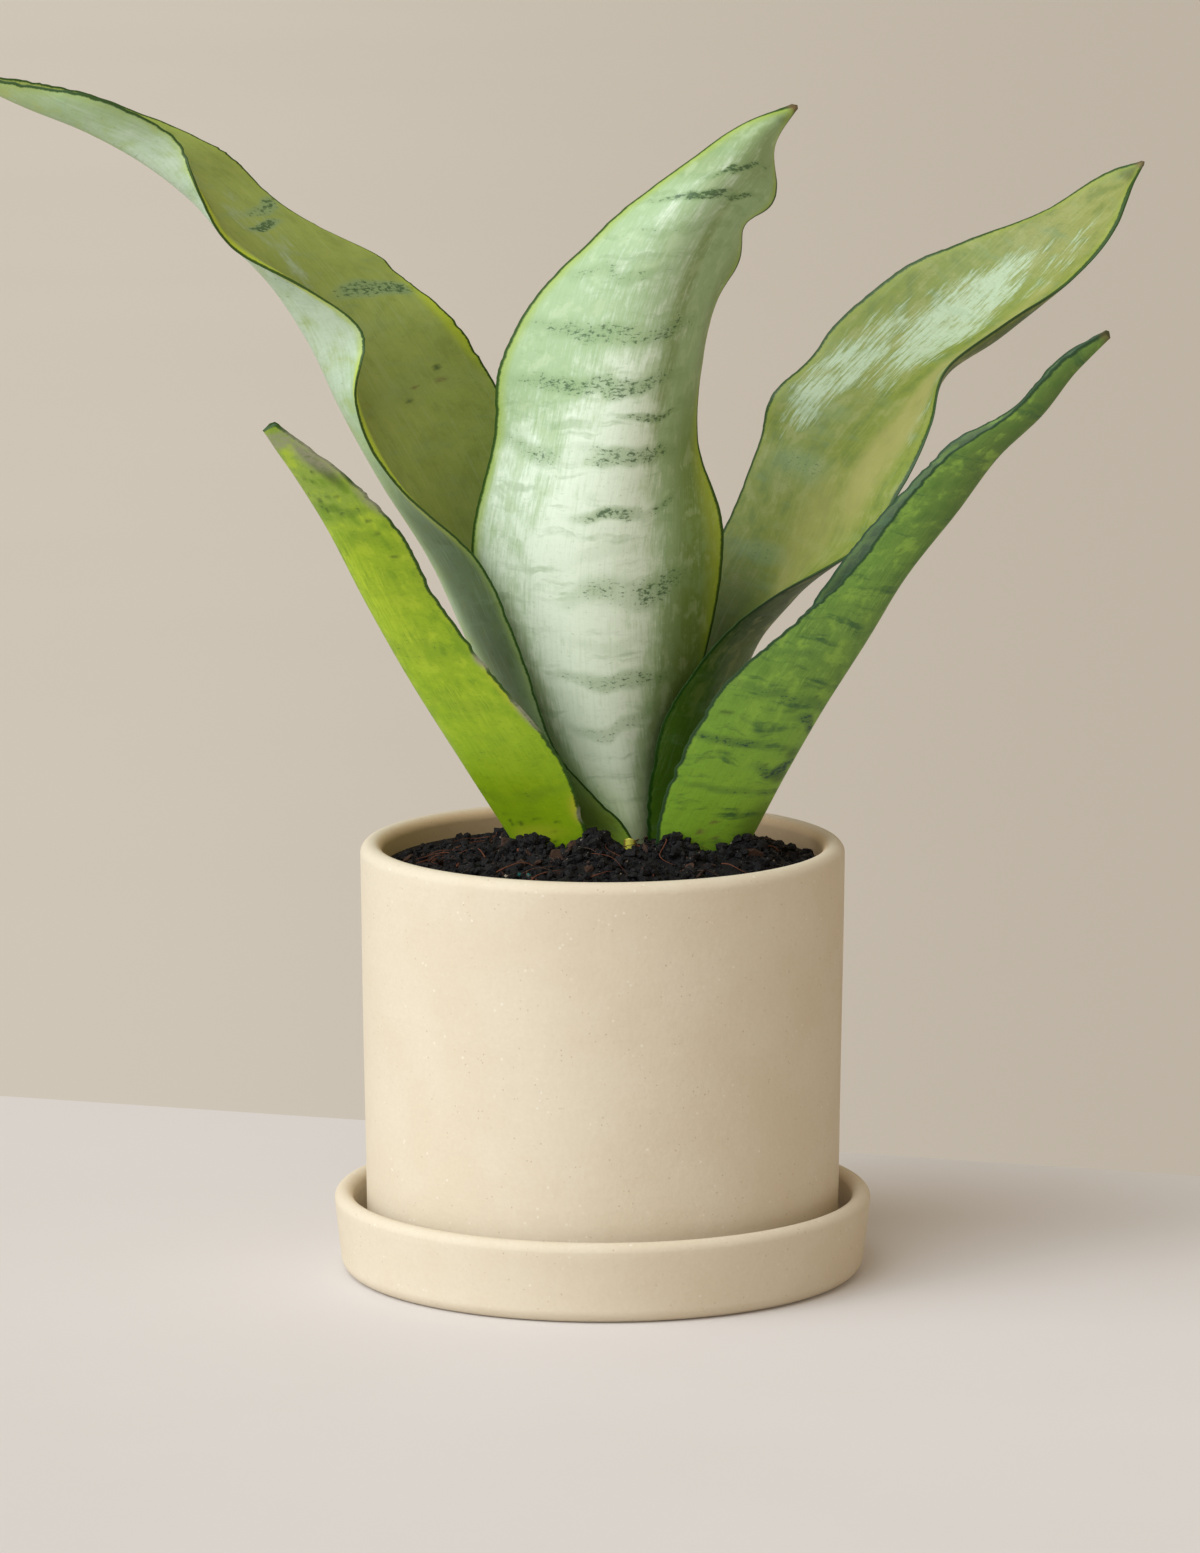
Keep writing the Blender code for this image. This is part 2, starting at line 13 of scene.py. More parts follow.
import bpy
import numpy as np
from numpy.typing import NDArray
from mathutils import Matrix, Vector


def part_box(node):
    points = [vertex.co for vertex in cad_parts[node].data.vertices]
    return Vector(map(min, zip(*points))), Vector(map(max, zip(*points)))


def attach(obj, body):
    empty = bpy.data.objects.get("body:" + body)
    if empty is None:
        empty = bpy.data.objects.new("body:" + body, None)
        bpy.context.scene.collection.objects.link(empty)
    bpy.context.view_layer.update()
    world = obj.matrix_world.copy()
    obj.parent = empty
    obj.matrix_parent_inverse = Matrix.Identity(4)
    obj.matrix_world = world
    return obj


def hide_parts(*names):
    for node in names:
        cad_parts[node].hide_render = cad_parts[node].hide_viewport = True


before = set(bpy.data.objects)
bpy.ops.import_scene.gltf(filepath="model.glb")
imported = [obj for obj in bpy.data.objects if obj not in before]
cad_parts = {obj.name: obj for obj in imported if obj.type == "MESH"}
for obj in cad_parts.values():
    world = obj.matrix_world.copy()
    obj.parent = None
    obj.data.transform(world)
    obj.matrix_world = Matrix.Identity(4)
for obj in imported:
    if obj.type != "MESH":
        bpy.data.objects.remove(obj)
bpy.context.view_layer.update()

Array = NDArray[np.float64]
Colour = tuple[float, float, float]
Point = tuple[float, float, float]
RailRow = tuple[Point, Point, Point]
Socket = bpy.types.NodeSocket

MM = 0.001
LOG = logging.getLogger("snake_plant")

HASH_AXES = (73856093, 19349663, 83492791)  # large odd numbers that spread a lattice place's three parts
HASH_SEED = 2654435761
HASH_MIXERS = ((15, 2246822519), (13, 3266489917))
HASH_WORD = 0xFFFFFFFF
HASH_LAST_SHIFT = 16
HASH_TOP = 0xFFFFFF

SAME_PLACE = 1e-7  # metres between two points of an outline that count as one
TINY = 1e-9  # least length that a normal is divided by
MIX_FIRST, MIX_SECOND, MIX_RESULT = 6, 7, 2  # the Mix node's colour sockets

MARK_CORE = 0.4  # share of a mark's half size that has its full strength
MARK_FADE = 0.8  # the further share over which it fades out
BAND_SWING = 4.5  # millimetres that a full-sized cross band strays along the blade
BAND_FULL_LENGTH = 2.5  # half length of a band that strays that far
SWING_WAVES = 3.1  # noise units across half a blade, in a band's straying
SWING_GRAIN = 30.0  # millimetres along the blade for one noise unit of it
GAP_WAVES = 2.3  # the same two measures for the gaps in a band
GAP_GRAIN = 9.0
GAP_LEVEL = 0.95  # a band's mean strength, before the gaps' noise is added
GAP_DEPTH = 0.8
SIDE_SHIFT = 0.3  # noise units between the two sides of a blade
NARROWEST_HALF = 4.0  # millimetres, so that margins stay whole near a point


# ---------------------------------------------------------------------------
# Mesh helpers
# ---------------------------------------------------------------------------


def grid_faces(rows: int, columns: int, closed: bool) -> NDArray[np.int64]:
    """Quads of a grid of points stored row by row.

    Args:
        rows: number of rows of points.
        columns: number of points in a row.
        closed: whether the last column joins the first.

    Returns:
        One row of four point numbers for each quad.
    """
    row = np.arange(rows - 1)[:, None]
    column = np.arange(columns if closed else columns - 1)[None, :]
    following = (column + 1) % columns
    corners = (
        row * columns + column,
        row * columns + following,
        (row + 1) * columns + following,
        (row + 1) * columns + column,
    )
    return np.stack([np.broadcast_to(c, (rows - 1, column.size)) for c in corners], -1).reshape(-1, 4)


def fan_faces(ring: NDArray[np.int64], centre: int) -> NDArray[np.int64]:
    """Triangles from each edge of a closed ring of points to one centre point."""
    return np.stack([ring, np.roll(ring, -1), np.full_like(ring, centre)], -1)


def signed_volume(points: Array, faces: list[NDArray[np.int64]]) -> float:
    """Volume inside closed faces by the divergence theorem, negative when they face inwards.

    Args:
        points: one row of x, y, z for each point.
        faces: blocks of point numbers, one row for each face.

    Returns:
        The volume, in the cube of the points' unit.
    """
    total = 0.0
    for block in faces:
        first = points[block[:, 0]]
        for k in range(1, block.shape[1] - 1):
            second, third = points[block[:, k]], points[block[:, k + 1]]
            total += float(np.einsum("ij,ij->", first, np.cross(second, third)))
    return total / 6.0


@dataclass
class Surface:
    """Points and faces of one piece, with the values that its material reads at each point."""

    points: Array
    faces: list[NDArray[np.int64]]
    uv: Array | None = None
    values: dict[str, Array] = field(default_factory=dict)

    def build(self, name: str, material: bpy.types.Material) -> bpy.types.Object:
        """Put the surface into a smooth mesh object at the origin.

        Args:
            name: the object's name.
            material: the material of the whole piece.

        Returns:
            The new object, linked to the scene.
        """
        faces = self.faces
        if signed_volume(self.points, faces) < 0.0:
            faces = [block[:, ::-1] for block in faces]
        mesh = bpy.data.meshes.new(name)
        mesh.vertices.add(len(self.points))
        mesh.vertices.foreach_set("co", self.points.astype(np.float32).ravel())
        corners = np.concatenate([block.ravel() for block in faces]).astype(np.int32)
        counts = np.concatenate([np.full(len(block), block.shape[1]) for block in faces])
        mesh.loops.add(len(corners))
        mesh.loops.foreach_set("vertex_index", corners)
        mesh.polygons.add(len(counts))
        starts = np.concatenate([[0], np.cumsum(counts)[:-1]]).astype(np.int32)
        mesh.polygons.foreach_set("loop_start", starts)
        if self.uv is not None:
            layer = mesh.uv_layers.new(name="UVMap")
            layer.uv.foreach_set("vector", self.uv[corners].astype(np.float32).ravel())
        for key, value in self.values.items():
            attribute = mesh.attributes.new(key, "FLOAT", "POINT")
            attribute.data.foreach_set("value", value.astype(np.float32).ravel())
        mesh.update(calc_edges=True)
        mesh.validate()
        mesh.shade_smooth()
        mesh.materials.append(material)
        made = bpy.data.objects.new(name, mesh)
        bpy.context.scene.collection.objects.link(made)
        LOG.info("%s: %d points, %d faces", name, len(self.points), len(counts))
        return made


def tone(red: float, green: float, blue: float) -> Colour:
    """Linear colour from screen values between 0 and 255.

    Args:
        red: the red value.
        green: the green value.
        blue: the blue value.

    Returns:
        Three linear values from 0 to 1.
    """

    def linear(value: float) -> float:
        """One value, by the sRGB curve."""
        share = value / 255.0
        return share / 12.92 if share <= 0.04045 else ((share + 0.055) / 1.055) ** 2.4

    return linear(red), linear(green), linear(blue)


def smooth_step(value: Array) -> Array:
    """Ease from 0 to 1 with no slope at either end: 3t^2 - 2t^3 on the clipped value."""
    held = np.clip(value, 0.0, 1.0)
    return held * held * (3.0 - 2.0 * held)


def lattice_noise(places: Array, seed: int) -> Array:
    """Smooth noise from -1 to 1, one value for each row of x, y, z.

    Each corner of a unit lattice holds a value hashed from its whole-number place, and a
    point's value is eased between the eight corners around it.

    Args:
        places: x, y, z in noise units, in the last axis.
        seed: which noise it is.

    Returns:
        One value for each place.
    """
    base = np.floor(places).astype(np.int64)
    part = places - base
    ease = part * part * (3.0 - 2.0 * part)
    total = np.zeros(places.shape[:-1])
    for dx in (0, 1):
        for dy in (0, 1):
            for dz in (0, 1):
                corner = base + np.array([dx, dy, dz])
                spread = [corner[..., k] * HASH_AXES[k] for k in range(3)]
                mixed = ((spread[0] ^ spread[1] ^ spread[2]) + seed * HASH_SEED) & HASH_WORD
                for shift, mixer in HASH_MIXERS:
                    mixed = ((mixed ^ (mixed >> shift)) * mixer) & HASH_WORD
                value = ((mixed ^ (mixed >> HASH_LAST_SHIFT)) & HASH_TOP) / (HASH_TOP >> 1) - 1.0
                weight = np.where(dx, ease[..., 0], 1.0 - ease[..., 0])
                weight = weight * np.where(dy, ease[..., 1], 1.0 - ease[..., 1])
                weight = weight * np.where(dz, ease[..., 2], 1.0 - ease[..., 2])
                total = total + weight * value
    return total


def layered_noise(places: Array, seed: int, layers: int = 4) -> Array:
    """Sum of lattice noises, each twice as fine and half as strong as the one before.

    Args:
        places: x, y, z in noise units, in the last axis.
        seed: seed of the first layer.
        layers: how many noises are summed.

    Returns:
        One value for each place, from -1 to 1.
    """
    total = np.zeros(places.shape[:-1])
    for layer in range(layers):
        total = total + lattice_noise(places * 2.0**layer, seed + layer) / 2.0**layer
    return total / (2.0 - 2.0 ** (1 - layers))


# ---------------------------------------------------------------------------
# Material helpers
# ---------------------------------------------------------------------------


class Weaver:
    """Builds one procedural material, node by node."""

    def __init__(self, name: str) -> None:
        """Start a material with one Principled shader.

        Args:
            name: the material's name.
        """
        self.material = bpy.data.materials.new(name)
        self.material.use_nodes = True
        self.tree = self.material.node_tree
        self.shader = self.tree.nodes["Principled BSDF"]

    def node(self, kind: str, **settings: object) -> bpy.types.Node:
        """Add a node and set its properties by name.

        Args:
            kind: the node type's name.
            settings: properties to set on it.

        Returns:
            The new node.
        """
        made = self.tree.nodes.new(kind)
        for key, value in settings.items():
            setattr(made, key, value)
        return made

    def feed(self, socket: Socket, source: object) -> None:
        """Link a source socket, or set a plain number or colour, on an input.

        Args:
            socket: the input.
            source: another node's output, a number, a vector or a colour.
        """
        if isinstance(source, Socket):
            self.tree.links.new(source, socket)
        elif isinstance(source, tuple) and len(source) == 3 and socket.type == "RGBA":
            socket.default_value = (*source, 1.0)
        else:
            socket.default_value = source

    def place(self) -> Socket:
        """Object coordinates of the point."""
        return self.node("ShaderNodeTexCoord").outputs["Object"]

    def blade_place(self) -> Socket:
        """The piece's own UV map, as a vector."""
        return self.node("ShaderNodeUVMap", uv_map="UVMap").outputs["UV"]

    def parts(self, vector: Socket) -> tuple[Socket, Socket]:
        """The first two numbers of a vector.

        Args:
            vector: the vector.

        Returns:
            Its X and Y.
        """
        made = self.node("ShaderNodeSeparateXYZ")
        self.feed(made.inputs[0], vector)
        return made.outputs["X"], made.outputs["Y"]

    def joined(self, first: Socket, second: Socket) -> Socket:
        """A vector of two numbers and zero.

        Args:
            first: the X.
            second: the Y.

        Returns:
            The vector.
        """
        made = self.node("ShaderNodeCombineXYZ")
        self.feed(made.inputs["X"], first)
        self.feed(made.inputs["Y"], second)
        return made.outputs[0]

    def value(self, name: str) -> Socket:
        """A value stored at the mesh's points."""
        return self.node("ShaderNodeAttribute", attribute_name=name).outputs["Fac"]

    def stretch(self, vector: Socket, scale: Point, shift: Point = (0.0, 0.0, 0.0)) -> Socket:
        """Scale and shift a vector, so that a pattern stretches along one way.

        Args:
            vector: the places.
            scale: factor along each axis.
            shift: what is then added.

        Returns:
            The new places.
        """
        made = self.node("ShaderNodeMapping")
        self.feed(made.inputs["Vector"], vector)
        made.inputs["Scale"].default_value = scale
        made.inputs["Location"].default_value = shift
        return made.outputs["Vector"]

    def noise(self, vector: Socket, scale: float, detail: float = 3.0, rough: float = 0.5) -> Socket:
        """Noise from 0 to 1 at a vector.

        Args:
            vector: the places.
            scale: how fine it is, per unit of the vector.
            detail: how many finer layers it has.
            rough: how strong those are.

        Returns:
            The noise.
        """
        made = self.node("ShaderNodeTexNoise")
        self.feed(made.inputs["Vector"], vector)
        made.inputs["Scale"].default_value = scale
        made.inputs["Detail"].default_value = detail
        made.inputs["Roughness"].default_value = rough
        return made.outputs["Fac"]

    def cells(self, vector: Socket, scale: float) -> Socket:
        """Distance to the nearest of many scattered points.

        Args:
            vector: the places.
            scale: how close the points lie, per unit of the vector.

        Returns:
            The distance, in units of a cell.
        """
        made = self.node("ShaderNodeTexVoronoi")
        self.feed(made.inputs["Vector"], vector)
        made.inputs["Scale"].default_value = scale
        return made.outputs["Distance"]

    def math(self, operation: str, first: object, second: object = 0.0, clamp: bool = False) -> Socket:
        """One arithmetic step.

        Args:
            operation: the operation's name.
            first: a socket or a number.
            second: a socket or a number.
            clamp: whether the result is held between 0 and 1.

        Returns:
            The result.
        """
        made = self.node("ShaderNodeMath", operation=operation, use_clamp=clamp)
        self.feed(made.inputs[0], first)
        self.feed(made.inputs[1], second)
        return made.outputs[0]

    def span(self, value: Socket, low: float, high: float, start: float = 0.0, end: float = 1.0) -> Socket:
        """Ease from start to end as a value goes from low to high.

        Args:
            value: what is read.
            low: the value that gives `start`.
            high: the value that gives `end`.
            start: the result at `low`.
            end: the result at `high`.

        Returns:
            The eased number.
        """
        made = self.node("ShaderNodeMapRange", interpolation_type="SMOOTHSTEP")
        self.feed(made.inputs["Value"], value)
        made.inputs["From Min"].default_value = low
        made.inputs["From Max"].default_value = high
        made.inputs["To Min"].default_value = start
        made.inputs["To Max"].default_value = end
        return made.outputs["Result"]

    def mix(self, factor: object, first: object, second: object) -> Socket:
        """Mix two colours.

        Args:
            factor: share of the second colour, a socket or a number.
            first: a socket or a colour.
            second: a socket or a colour.

        Returns:
            The mixed colour.
        """
        made = self.node("ShaderNodeMix", data_type="RGBA")
        self.feed(made.inputs["Factor"], factor)
        self.feed(made.inputs[MIX_FIRST], first)
        self.feed(made.inputs[MIX_SECOND], second)
        return made.outputs[MIX_RESULT]

    def bump(self, height: Socket, depth: float, below: Socket | None = None) -> Socket:
        """Turn a height into a bent normal, on top of another one if given.

        Args:
            height: height from 0 to 1.
            depth: what a height of 1 stands for, in metres.
            below: the normal that it bends.

        Returns:
            The bent normal.
        """
        made = self.node("ShaderNodeBump")
        self.feed(made.inputs["Height"], height)
        made.inputs["Distance"].default_value = depth
        made.inputs["Strength"].default_value = 1.0
        if below is not None:
            self.feed(made.inputs["Normal"], below)
        return made.outputs["Normal"]

    def finish(
        self, colour: object, roughness: object, normal: object = None, **fixed: float
    ) -> bpy.types.Material:
        """Wire the shader's sockets and return the material.

        Args:
            colour: the base colour, a socket or a colour.
            roughness: a socket or a number.
            normal: a normal, where there is one.
            fixed: other inputs' numbers, with _ for each space in the name.

        Returns:
            The finished material.
        """
        self.feed(self.shader.inputs["Base Color"], colour)
        self.feed(self.shader.inputs["Roughness"], roughness)
        if normal is not None:
            self.feed(self.shader.inputs["Normal"], normal)
        for key, number in fixed.items():
            self.shader.inputs[key.replace("_", " ")].default_value = number
        return self.material


# ---------------------------------------------------------------------------
# Ceramic
# ---------------------------------------------------------------------------


@dataclass(frozen=True)
class CeramicFinish:
    """Matte sand-coloured stoneware with fine specks, and painted warm bounce light inside the pot.

    Attributes:
        painted_bounce_light: colour of the pot's inner wall, a painted warm bounce light from the ceramic.
        bore: the inner wall's radius, in metres.
        fade: how far up the rim's curve the inner wall's colour fades out, in metres.
    """

    body: Colour = tone(222, 210, 186)
    warm: Colour = tone(219, 205, 179)
    speck: Colour = tone(168, 138, 104)
    pale: Colour = tone(236, 227, 210)
    painted_bounce_light: Colour = tone(230, 198, 156)
    bore: float = 0.0592
    fade: float = 0.0025

    def make(self, name: str) -> bpy.types.Material:
        """Cloudy body, tan and pale specks, a fine tooth and faint turning rings.

        Args:
            name: the material's name.

        Returns:
            A material that reads object coordinates.
        """
        w = Weaver(name)
        place = w.place()
        cloud = w.noise(place, 38.0, 4.0, 0.55)
        grain = w.noise(place, 900.0, 2.0, 0.6)
        dots = w.span(w.cells(place, 620.0), 0.2, 0.08)
        speck = w.math("MULTIPLY", dots, w.span(w.noise(place, 210.0), 0.52, 0.62))
        dots = w.span(w.cells(place, 430.0), 0.22, 0.1)
        pale = w.math("MULTIPLY", dots, w.span(w.noise(place, 160.0), 0.54, 0.64))
        colour = w.mix(w.span(cloud, 0.35, 0.7), self.body, self.warm)
        x, y = w.parts(place)
        reach = w.math("ADD", w.math("MULTIPLY", x, x), w.math("MULTIPLY", y, y))
        # painted warm bounce light on the pot's inner wall, inside the bore
        colour = w.mix(w.span(reach, (self.bore + self.fade) ** 2, self.bore**2), colour, self.painted_bounce_light)
        colour = w.mix(w.math("MULTIPLY", grain, 0.16), colour, self.speck)
        colour = w.mix(w.math("MULTIPLY", pale, 0.55), colour, self.pale)
        colour = w.mix(w.math("MULTIPLY", speck, 0.5), colour, self.speck)
        rings = w.noise(w.stretch(place, (6.0, 6.0, 420.0)), 1.0, 2.0)
        normal = w.bump(rings, 0.00005)
        normal = w.bump(w.noise(place, 260.0, 3.0, 0.6), 0.00012, normal)
        normal = w.bump(grain, 0.00005, normal)
        return w.finish(colour, w.span(cloud, 0.3, 0.7, 0.62, 0.78), normal, Specular_IOR_Level=0.3)


@dataclass
class TurnedWare:
    """A round ceramic piece, thrown on a wheel: an outline turned about the Z axis.

    Attributes:
        outline: rows of radius and height, in metres.
        bored: whether the outline closes round a hole, or ends at the axis.
        around: number of points round the axis.
        wobble: the most that the hand's wave takes off the largest radius, in metres.
        waves: each part of that wave: turns, radians per metre of height, and its start.
    """

    name: str
    outline: Array
    bored: bool
    around: int = 256
    wobble: float = 0.00012
    waves: tuple[Point, ...] = ((2.0, 60.0, 0.0), (3.0, -90.0, 1.0))

    def surface(self) -> Surface:
        """The outline (r, z) at angle a gives (r cos a, r sin a, z).

        A slow wave of the hand, up to the wobble, is only ever taken off the radius.

        Returns:
            The closed skin, in metres.
        """
        angle = np.linspace(0.0, math.tau, self.around, endpoint=False)
        radius = self.outline[:, :1] * np.ones((1, self.around))
        height = self.outline[:, 1:] * np.ones((1, self.around))
        wave = 0.5
        for turns, climb, start in self.waves:
            wave = wave + 0.5 / len(self.waves) * np.sin(turns * angle + climb * height + start)
        radius = radius * (1.0 - wave * self.wobble / self.outline[:, 0].max())
        points = np.stack([radius * np.cos(angle), radius * np.sin(angle), height], -1).reshape(-1, 3)
        rows = len(self.outline)
        faces = [grid_faces(rows, self.around, closed=True)]
        if self.bored:
            first = np.arange(self.around)
            last = first + (rows - 1) * self.around
            faces.append(np.stack([last, np.roll(last, -1), np.roll(first, -1), first], -1))
        else:
            low = self.outline[0, 1]
            high = self.outline[-1, 1]
            points = np.concatenate([points, [[0.0, 0.0, low], [0.0, 0.0, high]]])
            first = np.arange(self.around)
            faces.append(fan_faces(first[::-1], len(points) - 2))
            faces.append(fan_faces(first + (rows - 1) * self.around, len(points) - 1))
        return Surface(points, faces)


def outline_arc(
    centre: tuple[float, float], radius: float, start: float, end: float, steps: int = 14
) -> Array:
    """Points of an arc, as rows of r and z, between two angles in degrees."""
    angle = np.radians(np.linspace(start, end, steps))
    return np.stack([centre[0] + radius * np.cos(angle), centre[1] + radius * np.sin(angle)], -1)


def outline_run(pieces: list[Array], step: float) -> Array:
    """Join pieces of an outline end to end, with extra points on each long straight run.

    Args:
        pieces: rows of r and z for each piece.
        step: the longest gap between two points.

    Returns:
        Rows of r and z, with no point given twice in a row.
    """
    corners = np.concatenate(pieces)
    keep = np.concatenate([[True], np.linalg.norm(np.diff(corners, axis=0), axis=1) > SAME_PLACE])
    corners = corners[keep]
    lengths = np.linalg.norm(np.diff(corners, axis=0), axis=1)
    parts = [corners[:1]]
    for start, end, length in zip(corners, corners[1:], lengths):
        count = max(1, int(math.ceil(length / step)))
        share = np.linspace(0.0, 1.0, count + 1)[1:, None]
        parts.append(start + (end - start) * share)
    return np.concatenate(parts)


@dataclass
class Pottery:
    """The pot and its saucer."""

    saucer_wall: float = 0.005
    saucer_floor: float = 0.0065
    saucer_foot_radius: float = 0.0705
    saucer_corner: float = 0.004
    saucer_fillet: float = 0.003
    saucer_middle: float = 0.002
    pot_wall: float = 0.006
    pot_floor: float = 0.008
    pot_foot_radius: float = 0.0635
    pot_corner: float = 0.003
    pot_fillet: float = 0.006
    drain_radius: float = 0.006
    step: float = 0.002
    finish: CeramicFinish = CeramicFinish()

    def saucer_outline(self) -> Array:
        """From the middle of the underside, round the lip, to the middle of the floor.

        Returns:
            Rows of r and z, in metres.
        """
        low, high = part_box("saucer")
        lip = self.saucer_wall / 2
        outer = high.x
        inner = outer - self.saucer_wall
        corner, fillet, floor = self.saucer_corner, self.saucer_fillet, self.saucer_floor
        return outline_run(
            [
                np.array([[self.saucer_middle, low.z]]),
                outline_arc((self.saucer_foot_radius - corner, corner), corner, -90, 0),
                outline_arc((outer - lip, high.z - lip), lip, 0, 180, 24),
                outline_arc((inner - fillet, floor + fillet), fillet, 0, -90),
                np.array([[self.saucer_middle, floor]]),
            ],
            self.step,
        )

    def pot_outline(self) -> Array:
        """From the drain hole's lower edge, round the rim, to the hole's upper edge.

        Returns:
            Rows of r and z, in metres.
        """
        low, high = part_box("pot")
        lip = self.pot_wall / 2
        outer = high.x
        inner = outer - self.pot_wall
        floor = low.z + self.pot_floor
        corner, fillet = self.pot_corner, self.pot_fillet
        return outline_run(
            [
                np.array([[self.drain_radius, low.z]]),
                outline_arc((self.pot_foot_radius - corner, low.z + corner), corner, -90, 0),
                outline_arc((outer - lip, high.z - lip), lip, 0, 180, 28),
                outline_arc((inner - fillet, floor + fillet), fillet, 0, -90),
                np.array([[self.drain_radius, floor]]),
            ],
            self.step,
        )

    def build(self) -> None:
        """Make both pieces and stand them in for their CAD nodes."""
        material = self.finish.make("sand_stoneware")
        for name, outline, bored in (
            ("saucer", self.saucer_outline(), False),
            ("pot", self.pot_outline(), True),
        ):
            ware = TurnedWare(f"{name}_turned", outline, bored)
            piece = ware.surface().build(ware.name, material)
            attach(piece, "root")
            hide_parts(name)


# ---------------------------------------------------------------------------
# Leaves
# ---------------------------------------------------------------------------

# Each leaf's rails in millimetres, from its foot to its point: far margin, keel, near margin.
LEAF_CENTRE: tuple[RailRow, ...] = (
    ((4, 2, 99), (8, -1, 99), (12, 2, 99)),
    ((1, 3, 116), (8, -5, 115), (14, 3, 116)),
    ((-15, 5, 138), (3, -9, 138), (18, 6, 138)),
    ((-30, 4, 168), (0, -14, 166), (27, 9, 166)),
    ((-35, 2, 196), (0, -16, 194), (30, 9, 197)),
    ((-29, 2, 225), (5, -15, 224), (24, 15, 223)),
    ((-27, 2, 246), (10, -12, 247), (27, 19, 247)),
    ((-14, 1, 267), (16, -8, 268), (32, 19, 265)),
    ((5, 2, 286), (26, -5, 286), (38, 17, 281)),
    ((23, 3, 299), (36, -2, 298), (45, 13, 292)),
    ((36, 5, 308), (43, 2, 307), (46, 9, 303)),
    ((51, 7, 314), (52, 7, 313), (52, 7, 313)),
)
LEAF_LEFT: tuple[RailRow, ...] = (
    ((2, 5, 99), (-2, 1, 98), (4, -9, 100)),
    ((2, 10, 115), (-5, 3, 114), (8, -13, 119)),
    ((0, 13, 128), (-13, 6, 127), (-2, -14, 131)),
    ((-4, 17, 142), (-22, 8, 142), (-12, -14, 143)),
    ((-11, 24, 167), (-33, 9, 165), (-22, -14, 171)),
    ((-15, 28, 197), (-44, 9, 191), (-33, -12, 195)),
    ((-22, 30, 221), (-55, 8, 213), (-51, -10, 215)),
    ((-30, 30, 238), (-67, 8, 234), (-61, -9, 237)),
    ((-41, 27, 255), (-78, 6, 253), (-62, -6, 255)),
    ((-53, 26, 265), (-86, 5, 266), (-76, -6, 266)),
    ((-68, 23, 275), (-96, 4, 278), (-95, -5, 278)),
    ((-90, 20, 291), (-108, 3, 289), (-104, -4, 292)),
    ((-107, 15, 304), (-125, 2, 301), (-114, 0, 307)),
    ((-131, 13, 314), (-137, 4, 307), (-132, -4, 316)),
    ((-149, 10, 319), (-152, 5, 313), (-149, 0, 319)),
    ((-172, 6, 322), (-172, 6, 322), (-172, 6, 322)),
)
LEAF_RIGHT: tuple[RailRow, ...] = (
    ((14, 6, 99), (20, 2, 99), (15, -6, 100)),
    ((14, 10, 117), (24, 3, 115), (12, -7, 117)),
    ((19, 17, 137), (29, 6, 136), (13, -9, 137)),
    ((23, 24, 156), (36, 9, 156), (19, -8, 156)),
    ((26, 30, 172), (41, 12, 169), (31, -6, 172)),
    ((30, 36, 189), (50, 16, 182), (46, -5, 184)),
    ((36, 41, 202), (57, 18, 195), (69, -3, 197)),
    ((42, 44, 217), (63, 22, 211), (78, -2, 212)),
    ((48, 46, 233), (75, 26, 227), (87, 3, 229)),
    ((63, 46, 245), (87, 28, 240), (92, 9, 243)),
    ((78, 46, 263), (100, 31, 249), (107, 14, 254)),
    ((98, 46, 273), (116, 34, 264), (125, 20, 265)),
    ((121, 46, 282), (131, 38, 280), (138, 28, 279)),
    ((137, 46, 292), (141, 41, 289), (143, 37, 290)),
    ((146, 43, 295), (146, 43, 295), (146, 43, 294)),
)
LEAF_FRONT_LEFT: tuple[RailRow, ...] = (
    ((-9, -2, 102), (-12, -9, 101), (-4, -13, 103)),
    ((-13, -3, 120), (-23, -12, 119), (-4, -19, 121)),
    ((-24, -7, 144), (-36, -20, 141), (-11, -24, 143)),
    ((-38, -9, 166), (-50, -24, 164), (-27, -27, 164)),
    ((-51, -13, 187), (-62, -28, 186), (-43, -30, 186)),
    ((-61, -18, 209), (-73, -33, 208), (-55, -35, 208)),
    ((-74, -25, 223), (-82, -37, 223), (-70, -38, 223)),
    ((-86, -37, 235), (-89, -40, 233), (-86, -40, 235)),
)
LEAF_FRONT_RIGHT: tuple[RailRow, ...] = (
    ((25, -5, 101), (27, -10, 100), (19, -15, 101)),
    ((27, -4, 118), (37, -12, 117), (14, -19, 117)),
    ((31, -2, 140), (48, -15, 138), (19, -23, 140)),
    ((39, -5, 161), (58, -19, 156), (31, -27, 162)),
    ((52, -7, 177), (69, -22, 174), (49, -29, 179)),
    ((64, -13, 195), (80, -26, 193), (65, -31, 194)),
    ((77, -16, 211), (93, -28, 210), (79, -33, 213)),
    ((93, -19, 227), (104, -30, 225), (91, -34, 226)),
    ((108, -25, 237), (115, -32, 236), (107, -35, 237)),
    ((120, -30, 251), (124, -34, 248), (120, -36, 251)),
    ((132, -36, 259), (133, -37, 257), (132, -38, 259)),
)
SHEATH_STUB: tuple[RailRow, ...] = (
    ((5.5, -15.6, 102), (7.0, -16.6, 102), (8.7, -15.8, 102)),
    ((5.4, -15.7, 112), (7.1, -17.0, 112), (8.9, -15.9, 112)),
    ((5.8, -15.8, 119.5), (7.2, -16.8, 120.2), (8.8, -16.0, 119.3)),
)


class Side(Enum):
    """The two sides of a blade: outer is the keel's side, inner is the channel's."""

    OUTER = 0.0
    INNER = 1.0
    BOTH = 0.5


class Tint(Enum):
    """What a mark puts on a blade, and the name of the value that it paints."""

    BAND = "band"
    SILVER = "silver"
    OLIVE = "olive"
    GOLD = "gold"
    SCAR = "scar"
    # painted shade, and also real dark spots and scar outlines
    SHADE = "shade"


